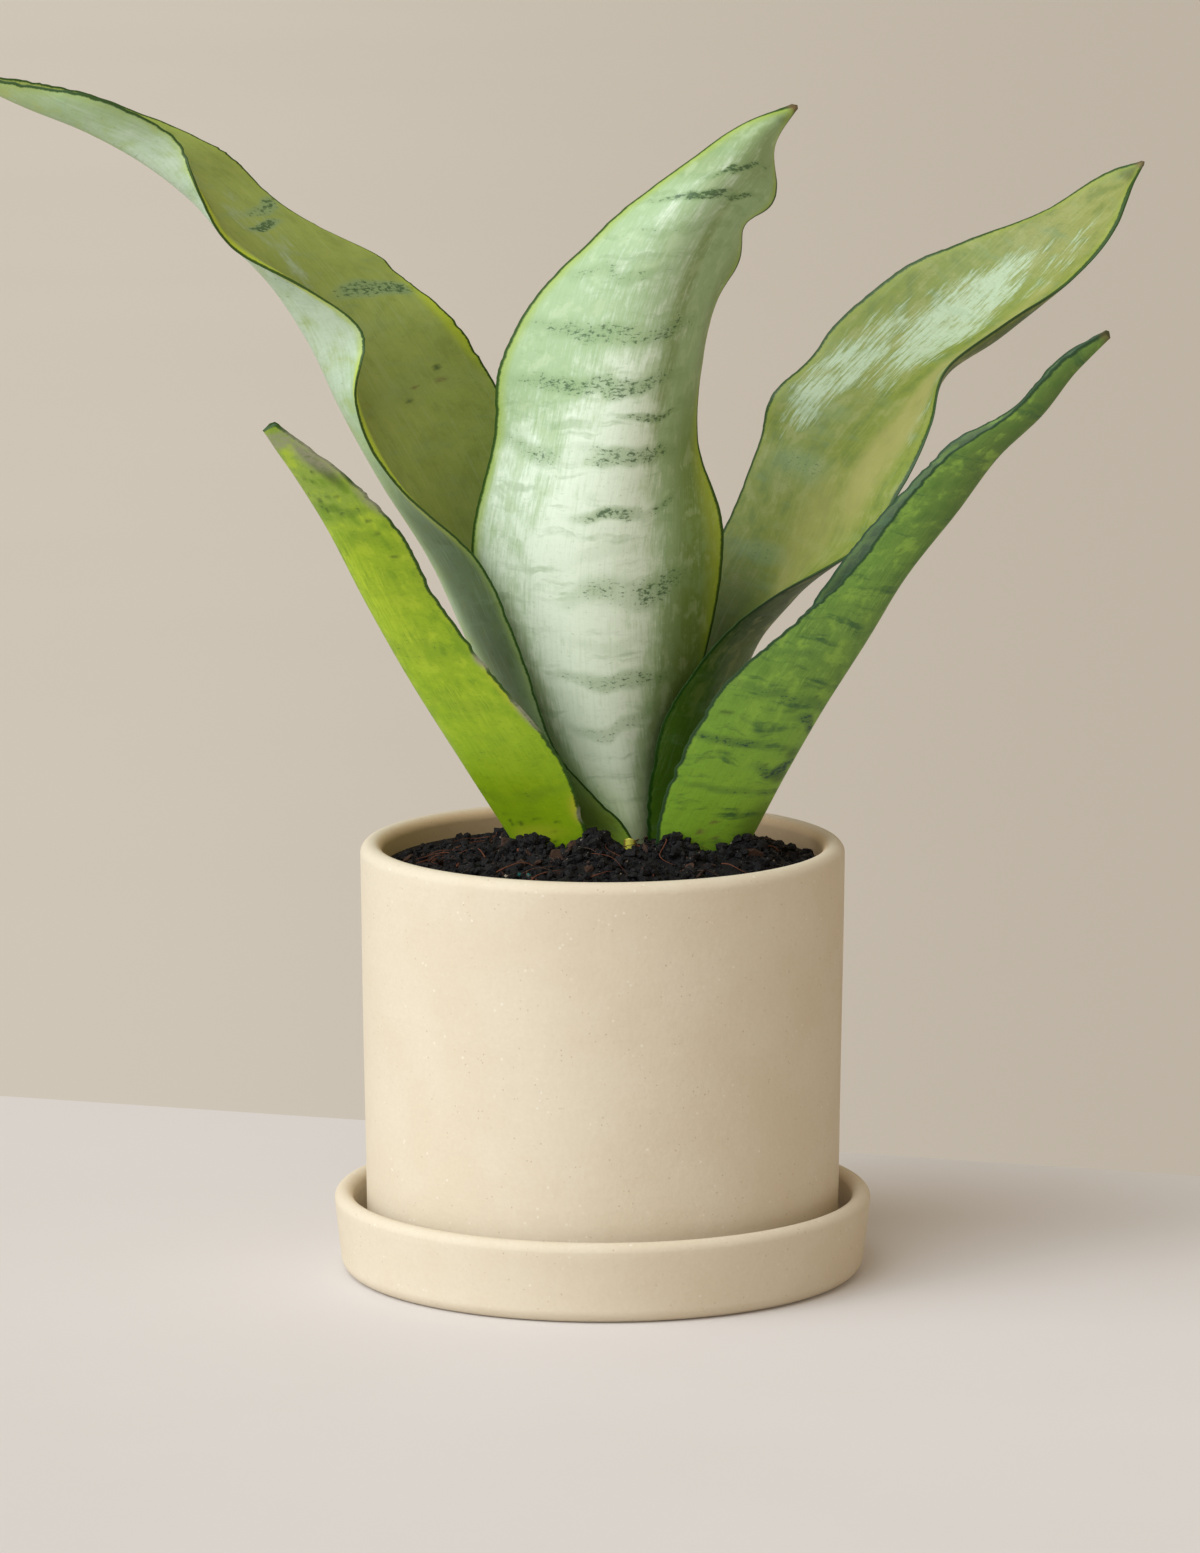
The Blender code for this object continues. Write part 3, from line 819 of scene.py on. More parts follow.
@dataclass(frozen=True)
class Mark:
    """A patch on a blade.

    Attributes:
        tint: what it is.
        along: millimetres from the foot to its middle.
        across: its middle, from -1 at the far margin to 1 at the near one.
        length: half its size along the blade, in millimetres.
        width: half its size across the blade, in the units of `across`.
        strength: how strong it is, from 0 to 1.
        side: which side it is on.
        slope: millimetres that it climbs from the keel to the near margin.
        bow: millimetres that it climbs from the keel to both margins.
    """

    tint: Tint
    along: float
    across: float
    length: float
    width: float
    strength: float = 1.0
    side: Side = Side.BOTH
    slope: float = 0.0
    bow: float = 0.0

    def amount(self, along: Array, across: Array, inner: Array) -> Array:
        """How strong the mark is at each point: a soft oval, wavered and gapped on a band.

        With distance d = hypot(along / length, across / width) from its middle, it is the
        strength times 1 - ease((d - MARK_CORE) / MARK_FADE).

        Args:
            along: millimetres from the foot.
            across: place across the blade, from -1 to 1.
            inner: 0 on the outer side and 1 on the inner one.

        Returns:
            Strengths from 0 to 1.
        """
        drift = self.slope * across + self.bow * across**2
        if self.tint is Tint.BAND:
            seed = int(self.along)
            swing = np.stack([across * SWING_WAVES, along / SWING_GRAIN, inner * SIDE_SHIFT], -1)
            share = min(1.0, self.length / BAND_FULL_LENGTH)
            drift = drift + BAND_SWING * layered_noise(swing, seed, 3) * share
        distance = np.hypot((along - self.along - drift) / self.length, (across - self.across) / self.width)
        value = self.strength * (1.0 - smooth_step((distance - MARK_CORE) / MARK_FADE))
        if self.tint is Tint.BAND:
            gap = np.stack([across * GAP_WAVES, along / GAP_GRAIN, inner * SIDE_SHIFT], -1)
            value = value * np.clip(GAP_LEVEL + GAP_DEPTH * layered_noise(gap, seed + 7, 2), 0.0, 1.0)
        if self.side is Side.BOTH:
            return value
        return value * np.clip(1.0 - np.abs(inner - self.side.value), 0.0, 1.0)


@dataclass(frozen=True)
class Flare:
    """A stretch of margin that bends towards the outer side (rise above 0) or the inner one.

    Attributes:
        end: -1 for the far margin and 1 for the near one.
        along: millimetres from the foot to its middle.
        length: half its length in millimetres.
        rise: how far the margin's edge moves, in millimetres.
        start: where across the blade the bend begins, from 0 at the keel to 1.
        out: how far the margin's edge moves out in the blade's own plane, in millimetres.
    """

    end: float
    along: float
    length: float
    rise: float
    start: float = 0.6
    out: float = 0.0

    def share(self, along: Array, across: Array) -> Array:
        """bell((along - middle) / length) x the square of the reach from `start` to the margin.

        Args:
            along: millimetres from the foot.
            across: place across the blade, from -1 to 1.

        Returns:
            How much of the bend each point has.
        """
        bell = np.exp(-(((along - self.along) / self.length) ** 2))
        reach = np.clip((across * self.end - self.start) / (1.0 - self.start), 0.0, 1.3)
        return bell * reach**2


@dataclass(frozen=True)
class LeafFinish:
    """The skin of one leaf: waxy, mottled, and speckled in broken bands.

    Attributes:
        outer: colour of the outer side.
        inner: colour of the inner side.
        foot: colour near the soil, which has gone at `foot_end` metres.
        rim_start: metres from the foot at which the yellow rim inside the margin begins.
        line_width: how wide the dark line on the margin is, in millimetres.
        blotch: how strong the cloudy light and dark patches are.
        zebra: how strong the thin wavy lines across the blade are.
        scratch: how ragged and streaky the silver patches are.
    """

    outer: Colour
    inner: Colour
    foot: Colour
    foot_end: float
    silver: Colour = tone(196, 213, 188)
    olive: Colour = tone(120, 138, 74)
    band: Colour = tone(52, 84, 46)
    haze: Colour = tone(128, 156, 118)
    deep: Colour = tone(96, 124, 72)
    light: Colour = tone(190, 204, 150)
    margin: Colour = tone(28, 66, 8)
    rim: Colour = tone(160, 182, 62)
    gold: Colour = tone(184, 188, 46)
    scar: Colour = tone(112, 88, 58)
    # shade: the darkest green, for painted shade at the feet, in channels and between leaves, and for dark
    # spots by scars
    shade: Colour = tone(34, 58, 24)
    rim_amount: float = 0.7
    rim_width: float = 3.2
    rim_start: float = 0.05
    line_width: float = 1.3
    speckle: float = 0.4
    mottle: float = 0.4
    blotch: float = 0.3
    zebra: float = 0.2
    scratch: float = 0.7
    roughness: float = 0.42

    def make(self, name: str) -> bpy.types.Material:
        """Weave the skin's material.

        Args:
            name: the material's name.

        Returns:
            A material that reads the blade's UV map (across and along, in metres) and the
            values painted on its points.
        """
        w = Weaver(name)
        place = w.blade_place()
        across, along = w.parts(place)
        inner = w.value("inner")
        edge = w.value("edge")
        veins = w.noise(w.stretch(place, (1.0, 0.04, 1.0)), 1500.0, 3.0, 0.6)
        strands = w.noise(w.stretch(place, (1.0, 0.1, 1.0), (0.3, 0.1, 0.0)), 420.0, 3.0, 0.6)
        scratches = w.noise(w.stretch(place, (1.0, 0.1, 1.0), (0.9, 0.3, 0.0)), 1150.0, 3.0, 0.7)
        cloud = w.noise(w.stretch(place, (1.0, 0.5, 1.0), (0.7, 0.2, 0.0)), 75.0, 3.0, 0.55)
        patch = w.noise(w.stretch(place, (1.0, 0.75, 1.0), (0.2, 0.8, 0.0)), 190.0, 5.0, 0.6)
        flecks = w.noise(w.stretch(place, (0.55, 1.0, 1.0), (0.1, 0.5, 0.0)), 1150.0, 3.0, 0.7)
        grain = w.noise(place, 2600.0, 2.0, 0.6)

        colour = w.mix(w.span(inner, 0.35, 0.65), self.outer, self.inner)
        olive = w.math("ADD", w.value("olive"), w.math("MULTIPLY", w.span(cloud, 0.48, 0.72), self.mottle))
        colour = w.mix(w.math("MULTIPLY", olive, 0.9, clamp=True), colour, self.olive)
        colour = w.mix(w.span(patch, 0.5, 0.64, 0.0, self.blotch), colour, self.deep)
        colour = w.mix(w.span(patch, 0.49, 0.36, 0.0, self.blotch), colour, self.light)
        silver = w.value("silver")
        ragged = w.math("MULTIPLY", w.math("SUBTRACT", scratches, 0.5), 2.2 * self.scratch)
        uneven = w.math("MULTIPLY", w.math("SUBTRACT", patch, 0.5), 1.2)
        wisps = w.span(w.math("ADD", w.math("ADD", ragged, uneven), silver), 0.3, 0.95)
        colour = w.mix(w.math("MULTIPLY", wisps, w.span(silver, 0.0, 0.3), clamp=True), colour, self.silver)
        colour = w.mix(w.span(along, 0.25 * self.foot_end, self.foot_end, 1.0, 0.0), colour, self.foot)
        # painted shade and real dark spots, in the darkest green
        colour = w.mix(w.math("MULTIPLY", w.value("shade"), 0.92, clamp=True), colour, self.shade)
        colour = w.mix(w.span(flecks, 0.52, 0.66, 0.0, 0.35 * self.blotch), colour, self.deep)
        colour = w.mix(w.span(veins, 0.45, 0.75, 0.0, 0.14), colour, self.deep)
        colour = w.mix(w.span(veins, 0.5, 0.25, 0.0, 0.12), colour, self.silver)

        band = w.value("band")
        waver = w.math("MULTIPLY", w.noise(w.stretch(place, (1.0, 0.6, 1.0)), 110.0, 3.0), 0.006)
        lines = w.joined(w.math("MULTIPLY", across, 0.2), w.math("ADD", along, waver))
        lines = w.span(w.noise(lines, 230.0, 3.0, 0.6), 0.52, 0.68)
        lines = w.math("MULTIPLY", w.math("MULTIPLY", lines, self.zebra), w.span(patch, 0.35, 0.6, 0.25, 1.0))
        haze = w.math("MAXIMUM", w.math("MULTIPLY", w.span(band, 0.05, 0.9), 0.6), lines)
        colour = w.mix(haze, colour, self.haze)
        broken = w.math("ADD", w.math("MULTIPLY", band, 0.4), flecks)
        broken = w.span(w.math("ADD", broken, w.math("MULTIPLY", strands, 0.35)), 0.95, 1.12)
        broken = w.math("MULTIPLY", broken, w.span(band, 0.02, 0.3))
        colour = w.mix(w.math("MULTIPLY", broken, 0.8, clamp=True), colour, self.band)
        stray = w.math("MULTIPLY", w.span(flecks, 0.63, 0.75), self.speckle)
        colour = w.mix(w.math("MULTIPLY", stray, 0.6), colour, self.band)

        rim = w.math("ADD", edge, w.math("MULTIPLY", strands, 1.5))
        rim = w.span(rim, self.rim_width + 1.2, 1.2)
        rim = w.math("MULTIPLY", rim, w.span(along, self.rim_start, self.rim_start + 0.03))
        colour = w.mix(w.math("MULTIPLY", rim, self.rim_amount), colour, self.rim)
        glow = w.math("MULTIPLY", w.value("gold"), w.span(cloud, 0.25, 0.5, 0.5, 1.0), clamp=True)
        colour = w.mix(glow, colour, self.gold)
        line = w.math("ADD", edge, w.math("MULTIPLY", w.math("SUBTRACT", flecks, 0.5), 0.9))
        colour = w.mix(w.span(line, self.line_width, 0.5 * self.line_width, 0.0, 0.95), colour, self.margin)
        torn = w.math("MULTIPLY", w.value("scar"), w.span(flecks, 0.3, 0.55, 0.45, 1.0), clamp=True)
        colour = w.mix(torn, colour, self.scar)

        wax = w.math("ADD", w.span(cloud, 0.3, 0.7, -0.04, 0.05), w.math("MULTIPLY", torn, 0.3))
        rough = w.math("ADD", w.math("ADD", wax, w.math("MULTIPLY", grain, 0.08)), self.roughness)
        normal = w.bump(veins, 0.00003)
        normal = w.bump(patch, 0.00025, normal)
        normal = w.bump(w.math("ADD", grain, w.math("MULTIPLY", broken, -0.5)), 0.00003, normal)
        return w.finish(colour, rough, normal, Specular_IOR_Level=0.35)


def knots_along(keel: Array) -> Array:
    """Distance along the keel at each of its points, in millimetres."""
    return np.concatenate([[0.0], np.cumsum(np.linalg.norm(np.diff(keel, axis=0), axis=1))])


def curve_through(points: Array, knots: Array, places: Array) -> Array:
    """A cubic through the points.

    On a span of length h, with t from 0 to 1, the curve is
    (2t^3 - 3t^2 + 1) p0 + (t^3 - 2t^2 + t) h m0 + (3t^2 - 2t^3) p1 + (t^3 - t^2) h m1, where the
    slope m at a point is its two neighbours' slopes, each weighted by the other span's length.

    Args:
        points: one row of x, y, z for each point.
        knots: distance along the blade at each point.
        places: distances at which the curve is read.

    Returns:
        One row of x, y, z for each place.
    """
    spans = np.diff(knots)
    slopes = np.diff(points, axis=0) / spans[:, None]
    tangents = np.empty_like(points)
    tangents[0] = slopes[0]
    tangents[-1] = slopes[-1]
    weighted = slopes[:-1] * spans[1:, None] + slopes[1:] * spans[:-1, None]
    tangents[1:-1] = weighted / (spans[1:, None] + spans[:-1, None])
    index = np.clip(np.searchsorted(knots, places, side="right") - 1, 0, len(spans) - 1)
    span = spans[index][:, None]
    t = (places - knots[index])[:, None] / span
    return (
        (2 * t**3 - 3 * t**2 + 1) * points[index]
        + (t**3 - 2 * t**2 + t) * span * tangents[index]
        + (3 * t**2 - 2 * t**3) * points[index + 1]
        + (t**3 - t**2) * span * tangents[index + 1]
    )


@dataclass
class Leaf:
    """One channelled blade, from its foot on the rhizome to its point.

    Attributes:
        rails: rows of the far margin, the keel and the near margin, in millimetres.
        slot: the record's material slot; it is not used.
        marks: patches on the skin.
        flares: stretches of margin that bend or run out.
        outer_share: share of the thickness that lies on the outer side of the rails' surface.
        tip_taper: share of the length over which the blade thins to its point.
        ripple: how far the slow ripple moves the surface, in millimetres.
        nick: how deep the small nicks in the margins are, in millimetres.
        calm_foot: share of the length from the foot that has no ripple.
        calm_foot_fade: the further share over which the ripple sets in.
        calm_tip: share of the length from which the ripple dies away.
        ripple_grain: millimetres along the blade for one noise unit of the ripple.
        ripple_keel: how much of the ripple reaches the keel.
        nick_grain: millimetres along the margin for one noise unit of the nicks.
        nick_start: where across the blade the nicks begin, from 0 at the keel to 1.
        tip_thickness: share of the thickness that is left at the point.
        tip_start: share of the length that the last row of a pointed blade lies at.
    """

    name: str
    rails: tuple[RailRow, ...]
    slot: str
    finish: LeafFinish
    marks: tuple[Mark, ...] = ()
    flares: tuple[Flare, ...] = ()
    seed: int = 1
    pointed: bool = True
    rows_per_mm: float = 1.25
    across_points: int = 61
    thickness_base: float = 3.0
    thickness_tip: float = 1.6
    thickness_margin: float = 1.0
    outer_share: float = 0.32
    tip_taper: float = 0.06
    ripple: float = 0.35
    nick: float = 0.22
    calm_foot: float = 0.12
    calm_foot_fade: float = 0.15
    calm_tip: float = 0.93
    ripple_grain: float = 21.0
    ripple_keel: float = 0.35
    nick_grain: float = 2.3
    nick_start: float = 0.9
    tip_thickness: float = 0.25
    tip_start: float = 0.997

    def surface(self) -> Surface:
        """Close the blade's two sides into one skin.

        With far F, keel K and near N at a place along the rails, the middle surface is
        K + v (N - F) / 2 + v^2 ((F + N) / 2 - K) for v from -1 to 1. Each side stands off it
        by its share of [margin + (body - margin)(1 - v^2)] sqrt(1 - v^16), so that they meet in a
        round margin. Flares, a slow ripple and small nicks then move the margins.

        Returns:
            The closed skin, with a UV map in metres and one value a point for each tint.
        """
        far, keel, near = (np.array([row[k] for row in self.rails], float) for k in range(3))
        knots = knots_along(keel)
        total = knots[-1]
        end = self.tip_start * total if self.pointed else total
        places = np.linspace(0.0, end, int(total * self.rows_per_mm))
        far, keel, near = (curve_through(rail, knots, places)[:, None] for rail in (far, keel, near))
        v = np.sin(np.linspace(-1.0, 1.0, self.across_points) * math.pi / 2)[None, :]
        along = places[:, None] * np.ones_like(v)
        half_width = np.linalg.norm(near - far, axis=-1) / 2
        margin = np.sign(v) * 7.0 + 0.0 * along
        where = np.stack([along / self.nick_grain, margin, np.full_like(along, 0.5)], -1)
        guarded = np.maximum(half_width, NARROWEST_HALF)
        nick = 1.0 - self.nick * np.abs(lattice_noise(where, self.seed)) / guarded
        near_margin = np.clip((np.abs(v) - self.nick_start) / (1.0 - self.nick_start), 0.0, 1.0)
        wide = v * (1.0 - (1.0 - nick) * near_margin)
        half, lean = (near - far) / 2, (near + far) / 2 - keel

        def facing(surface: Array) -> Array:
            """Unit normals of the surface, on the keel's side as a whole.

            Args:
                surface: a grid of points.

            Returns:
                One normal for each point of the grid.
            """
            normal = np.cross(np.gradient(surface, axis=0), np.gradient(surface, axis=1))
            normal /= np.maximum(np.linalg.norm(normal, axis=-1, keepdims=True), TINY)
            return normal if float(np.sum(normal * lean)) < 0.0 else -normal

        normal = facing(keel + wide[..., None] * half + (wide**2)[..., None] * lean)
        for flare in self.flares:
            wide = wide + flare.end * flare.share(along, v) * flare.out / guarded
        middle = keel + wide[..., None] * half + (wide**2)[..., None] * lean
        share = along / total
        fade = smooth_step((share - self.calm_foot) / self.calm_foot_fade)
        fade = fade * (1.0 - smooth_step((share - self.calm_tip) / (1.0 - self.calm_tip)))
        slow = np.stack([along / self.ripple_grain, wide * 1.3, np.full_like(along, 3.5)], -1)
        reach = self.ripple_keel + (1.0 - self.ripple_keel) * wide**2
        lift = self.ripple * layered_noise(slow, self.seed + 40, 3) * reach * fade
        for flare in self.flares:
            lift = lift + flare.rise * flare.share(along, v)
        middle = middle + lift[..., None] * normal
        normal = facing(middle)

        body = self.thickness_base * (1.0 - share) + min(self.thickness_base, self.thickness_tip) * share
        rim = min(self.thickness_base, self.thickness_margin)
        depth = (rim + (body - rim) * (1.0 - v**2)) * np.sqrt(np.clip(1.0 - v**16, 0.0, 1.0))
        if self.pointed:
            thinning = smooth_step((1.0 - share) / self.tip_taper)
            depth = depth * (self.tip_thickness + (1.0 - self.tip_thickness) * thinning)
        outer = middle + normal * (depth * self.outer_share)[..., None]
        inner = (middle - normal * (depth * (1.0 - self.outer_share))[..., None])[:, -2:0:-1]
        ring = np.concatenate([outer, inner], axis=1)
        rows, around = ring.shape[:2]
        points = ring.reshape(-1, 3)
        faces = [grid_faces(rows, around, closed=True)]

        steps = np.linalg.norm(np.diff(middle, axis=1), axis=-1)
        run = np.concatenate([np.zeros((rows, 1)), np.cumsum(steps, axis=1)], axis=1)
        centre = run[:, self.across_points // 2][:, None]
        width = run - centre
        edge = np.minimum(run, run[:, -1:] - run)
        if self.pointed:
            edge = np.minimum(edge, total - along)

        def round_ring(value: Array) -> Array:
            """A value at every point of both sides, row by row."""
            return np.concatenate([value, value[:, -2:0:-1]], axis=1).ravel()

        v_ring = round_ring(v * np.ones((rows, 1)))
        along_ring = round_ring(along)
        side = np.zeros((rows, around))
        side[:, self.across_points :] = 1.0
        side[:, 0] = 0.5
        side[:, self.across_points - 1] = 0.5
        side = side.ravel()
        values = {"inner": side, "edge": round_ring(edge)}
        for tint in Tint:
            amount = np.zeros(len(points))
            for mark in self.marks:
                if mark.tint is tint:
                    amount = np.maximum(amount, mark.amount(along_ring, v_ring, side))
            values[tint.value] = amount
        uv = np.stack([round_ring(width), along_ring], -1) * MM

        first = np.arange(around)
        foot = (first[None, : self.across_points - 1], first[None, 1 : self.across_points])
        back = (around - foot[1]) % around
        back_first = (around - foot[0]) % around
        cap = np.stack([foot[0], foot[1], back, back_first], -1)[0]
        quads = cap[1:-1]
        start = cap[0][[0, 1, 2]][None]
        finish = cap[-1][[0, 1, 3]][None]
        last = (rows - 1) * around
        faces += [quads[:, ::-1], start[:, ::-1], finish[:, ::-1]]
        if self.pointed:
            tip = np.mean([self.rails[-1][k] for k in range(3)], axis=0)
            points = np.concatenate([points, tip[None]])
            uv = np.concatenate([uv, [[0.0, total * MM]]])
            values = {key: np.append(value, value[-1]) for key, value in values.items()}
            faces.append(fan_faces(first + last, len(points) - 1))
        else:
            faces += [quads + last, start + last, finish + last]
        return Surface(points * MM, faces, uv, values)

    def build(self) -> None:
        """Make the blade and stand it in for its CAD node."""
        piece = self.surface().build(f"{self.name}_blade", self.finish.make(f"{self.name}_skin"))
        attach(piece, "root")
        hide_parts(self.name)


def flecks(
    seed: int,
    count: int,
    span: tuple[float, float],
    across: tuple[float, float],
    size: float,
    strength: float = 0.9,
) -> tuple[Mark, ...]:
    """A few seeded dark dots scattered over part of a blade.

    Args:
        seed: seed of their places.
        count: how many there are.
        span: the first and last place along the blade, in millimetres.
        across: the first and last place across it, from -1 to 1.
        size: about half a dot's size, in millimetres.
        strength: how dark the darkest one is.

    Returns:
        The dots, as marks.
    """
    draw = np.random.default_rng(seed)
    return tuple(
        Mark(
            Tint.SHADE,
            float(draw.uniform(*span)),
            float(draw.uniform(*across)),
            size * float(draw.uniform(0.7, 1.4)),
            0.05 * size * float(draw.uniform(0.6, 1.4)),
            strength * float(draw.uniform(0.5, 1.0)),
        )
        for _ in range(count)
    )


def plant_leaves() -> tuple[Leaf, ...]:
    """The five leaves and the stub of a sheath that stands between their feet.

    Returns:
        The five leaves, and then the stub.
    """
    band, silver, olive, gold, scar, shade = Tint
    outer, inner = Side.OUTER, Side.INNER
    centre = Leaf(
        "leaf_centre",
        LEAF_CENTRE,
        "leaf_silver",
        LeafFinish(
            outer=tone(164, 189, 142),
            inner=tone(122, 144, 80),
            foot=tone(206, 218, 168),
            foot_end=0.045,
            silver=tone(225, 237, 213),
            olive=tone(112, 132, 50),
            light=tone(206, 220, 180),
            deep=tone(152, 178, 126),
            haze=tone(130, 158, 104),
            mottle=0.0,
            rim_amount=0.8,
            rim_width=5.0,
            line_width=1.7,
            scratch=0.35,
            zebra=0.45,
        ),
        marks=(
            # The silver on the left of the outer side is partly the leaf's own silver and partly painted
            # light where that side faces the lamps.
            Mark(silver, 84, -0.1, 96, 0.74, 1.0, outer),
            Mark(silver, 178, -0.1, 70, 0.9, 0.42, outer),
            Mark(silver, 100, -0.74, 54, 0.4, 0.7, outer),
            # partly the leaf's own olive and partly painted shade on the right of the outer side, beyond the
            # ridge
            Mark(olive, 78, 0.9, 80, 0.36, 1.0, outer),
            Mark(olive, 160, 0.95, 30, 0.2, 0.7, outer),
            Mark(olive, 216, -0.3, 16, 1.5, 0.5),
            # narrow olive lines along the ridge: partly the leaf's own colour and partly painted shade where
            # the blade turns from the lamps
            Mark(olive, 168, 0.3, 50, 0.12, 0.65, outer),
            Mark(olive, 66, 0.6, 44, 0.12, 0.5, outer),
            Mark(band, 208, 0.0, 2.0, 1.0, 1.0, outer, 5, 3),
            Mark(band, 200, 0.0, 2.2, 1.1, 1.0, outer, 5, 3),
            Mark(band, 190, -0.1, 2.5, 0.9, 0.5, outer, 5, 3),
            Mark(band, 176, -0.4, 3.0, 0.8, 0.6, outer, 4, 3),
            Mark(band, 160, -0.2, 4.0, 1.0, 0.75, outer, 3, 4),
            Mark(band, 144, -0.2, 3.6, 1.0, 0.8, outer, 2, 3),
            Mark(band, 136, 0.2, 1.5, 0.5, 0.9, outer, 1, 2),
            Mark(band, 126, -0.1, 4.0, 1.1, 0.8, outer, 1, 2),
            Mark(band, 111, 0.2, 2.6, 0.6, 0.95, outer, 1, 2),
            Mark(band, 100, 0.0, 3.0, 0.8, 0.3, outer),
            Mark(band, 88, 0.25, 6.0, 0.7, 0.8, outer, 0, 2),
            Mark(band, 76, 0.2, 3.0, 0.7, 0.35, outer),
            Mark(band, 65, 0.15, 3.5, 0.8, 0.7, outer, 0, 2),
            Mark(band, 52, 0.1, 3.0, 0.8, 0.55, outer, 0, 2),
            Mark(band, 40, 0.2, 2.0, 0.7, 0.35, outer),
            Mark(gold, 106, 0.97, 40, 0.12, 0.35),
            # painted shadow from leaf_left along the lower far margin
            Mark(shade, 60, -0.98, 46, 0.14, 0.7),
            Mark(scar, 233, 0, 1.5, 1.5, 0.9),
            Mark(shade, 230, 0, 4, 1.5, 0.5),
        ),
        flares=(
            Flare(1, 204, 8, 2.0, 0.6, 1.6),
            Flare(1, 193, 4, 0.0, 0.6, -1.4),
            Flare(1, 181, 9, 2.2, 0.65, 1.4),
            Flare(1, 104, 30, 3.2, 0.66),
            Flare(-1, 168, 9, 0.0, 0.5, 0.5),
            Flare(-1, 184, 5, 0.0, 0.5, -0.5),
        ),
        seed=3,
    )
    left = Leaf(
        "leaf_left",
        LEAF_LEFT,
        "leaf_olive",
        LeafFinish(
            outer=tone(158, 182, 134),
            inner=tone(150, 164, 80),
            foot=tone(146, 180, 56),
            foot_end=0.055,
            silver=tone(188, 205, 178),
            olive=tone(158, 170, 100),
            deep=tone(122, 136, 62),
            light=tone(168, 178, 92),
            mottle=0.3,
            rim_amount=0.3,
            rim_width=3.0,
            gold=tone(178, 194, 54),
            line_width=1.0,
            scratch=0.3,
        ),
        marks=(
            Mark(silver, 200, 0.5, 75, 0.9, 0.8, outer),
            Mark(silver, 258, 0.4, 40, 0.9, 0.4, outer),
            Mark(silver, 215, -0.35, 50, 0.3, 0.4, inner),
            Mark(olive, 285, 0.0, 20, 1.5, 0.5),
            Mark(band, 211, -0.7, 2.0, 0.5, 1.0, inner, -5),
            Mark(band, 207, -0.45, 1.6, 0.34, 1.0, inner, -5),
            Mark(band, 181, -0.8, 4.0, 0.4, 0.85, inner, -6),
            Mark(band, 172, -0.4, 3.0, 0.6, 0.3, inner, -5),
            Mark(band, 150, -0.6, 6.0, 0.6, 0.35, inner, -5),
            Mark(band, 243, 0.5, 6.0, 0.7, 0.4, outer),
            Mark(band, 222, 0.5, 4.0, 0.7, 0.4, outer),
            Mark(band, 190, 0.5, 6.0, 0.7, 0.45, outer),
            Mark(band, 160, 0.5, 4.0, 0.7, 0.3, outer),
            Mark(shade, 158, -0.78, 1.0, 0.025, 0.9, inner),
            Mark(scar, 154, -0.76, 1.0, 0.025, 0.9, inner),
            Mark(scar, 153, -0.6, 0.8, 0.02, 0.9, inner),
            Mark(shade, 149, -0.5, 0.8, 0.02, 0.8, inner),
            Mark(gold, 172, -1.0, 20, 0.07, 0.9, inner),
            Mark(gold, 208, 1.0, 34, 0.13, 1.0),
            Mark(gold, 141, 1.0, 36, 0.13, 1.0),
            Mark(shade, 218, 0.96, 5, 0.14, 0.85, inner),
            Mark(shade, 209, 0.92, 3, 0.06, 0.8, inner),
            Mark(shade, 226, 0.98, 4, 0.05, 0.8, inner),
            # painted shade low on the outer side by the near margin, between this leaf and the centre leaf
            Mark(shade, 92, 0.75, 44, 0.4, 0.75, outer),
            Mark(silver, 70, 0.3, 60, 0.3, 0.5, outer),
            # painted shade inside the channel near the foot
            Mark(shade, 60, 0.0, 36, 1.2, 0.25, inner),
        ),
        flares=(
            Flare(1, 210, 18, 4.2, 0.72, -3.6),
            Flare(1, 143, 24, 4.0, 0.74, -3.2),
            Flare(-1, 201, 6, 0.0, 0.4, 1.3),
            Flare(-1, 215, 8, 0.0, 0.4, -1.3),
        ),
        seed=7,
    )
    right = Leaf(
        "leaf_right",
        LEAF_RIGHT,
        "leaf_pale",
        LeafFinish(
            outer=tone(44, 74, 8),
            inner=tone(126, 140, 54),
            foot=tone(76, 112, 22),
            # a deeper green for the painted shade low on this leaf
            shade=tone(28, 52, 4),
            foot_end=0.1,
            silver=tone(178, 196, 160),
            olive=tone(146, 148, 84),
            deep=tone(94, 116, 48),
            light=tone(156, 160, 96),
            mottle=0.35,
            blotch=0.5,
            rim_amount=0.55,
            rim=tone(150, 164, 62),
            gold=tone(166, 162, 96),
            rim_start=0.11,
            scratch=1.0,
        ),
        marks=(
            Mark(silver, 180, -0.3, 34, 0.45, 0.85, inner),
            Mark(silver, 152, -0.72, 26, 0.26, 0.75, inner),
            Mark(silver, 206, 0.3, 22, 0.35, 0.4, inner),
            Mark(silver, 150, 0.7, 26, 0.2, 0.4, inner),
            Mark(olive, 222, 0.0, 26, 1.2, 0.8, inner),
            Mark(gold, 138, 0.45, 36, 0.34, 0.8, inner),
            Mark(gold, 178, 0.5, 30, 0.3, 0.5, inner),
            Mark(gold, 104, 0.0, 24, 0.4, 0.5, inner),
            Mark(band, 122, -0.5, 9.0, 0.55, 0.55, inner, 3),
            Mark(band, 98, -0.5, 5.0, 0.55, 0.5, inner, 3),
            Mark(band, 142, -0.6, 5.0, 0.5, 0.45, inner, 3),
            # painted shade low on the leaf, where it stands behind the other leaves
            Mark(shade, 58, -0.4, 40, 0.9, 0.7, inner),
            Mark(shade, 40, 0.0, 26, 1.4, 0.3),
            Mark(shade, 150, 1.0, 46, 0.07, 0.6, inner),
            Mark(scar, 242, 0.0, 1.6, 1.5, 0.8),
            Mark(shade, 239, 0.0, 4.0, 1.5, 0.6),
        ),
        flares=(Flare(-1, 138, 7, -1.6, 0.6), Flare(-1, 163, 9, 0.0, 0.3, 2.4), Flare(1, 126, 20, 1.6, 0.7)),
        seed=11,
    )
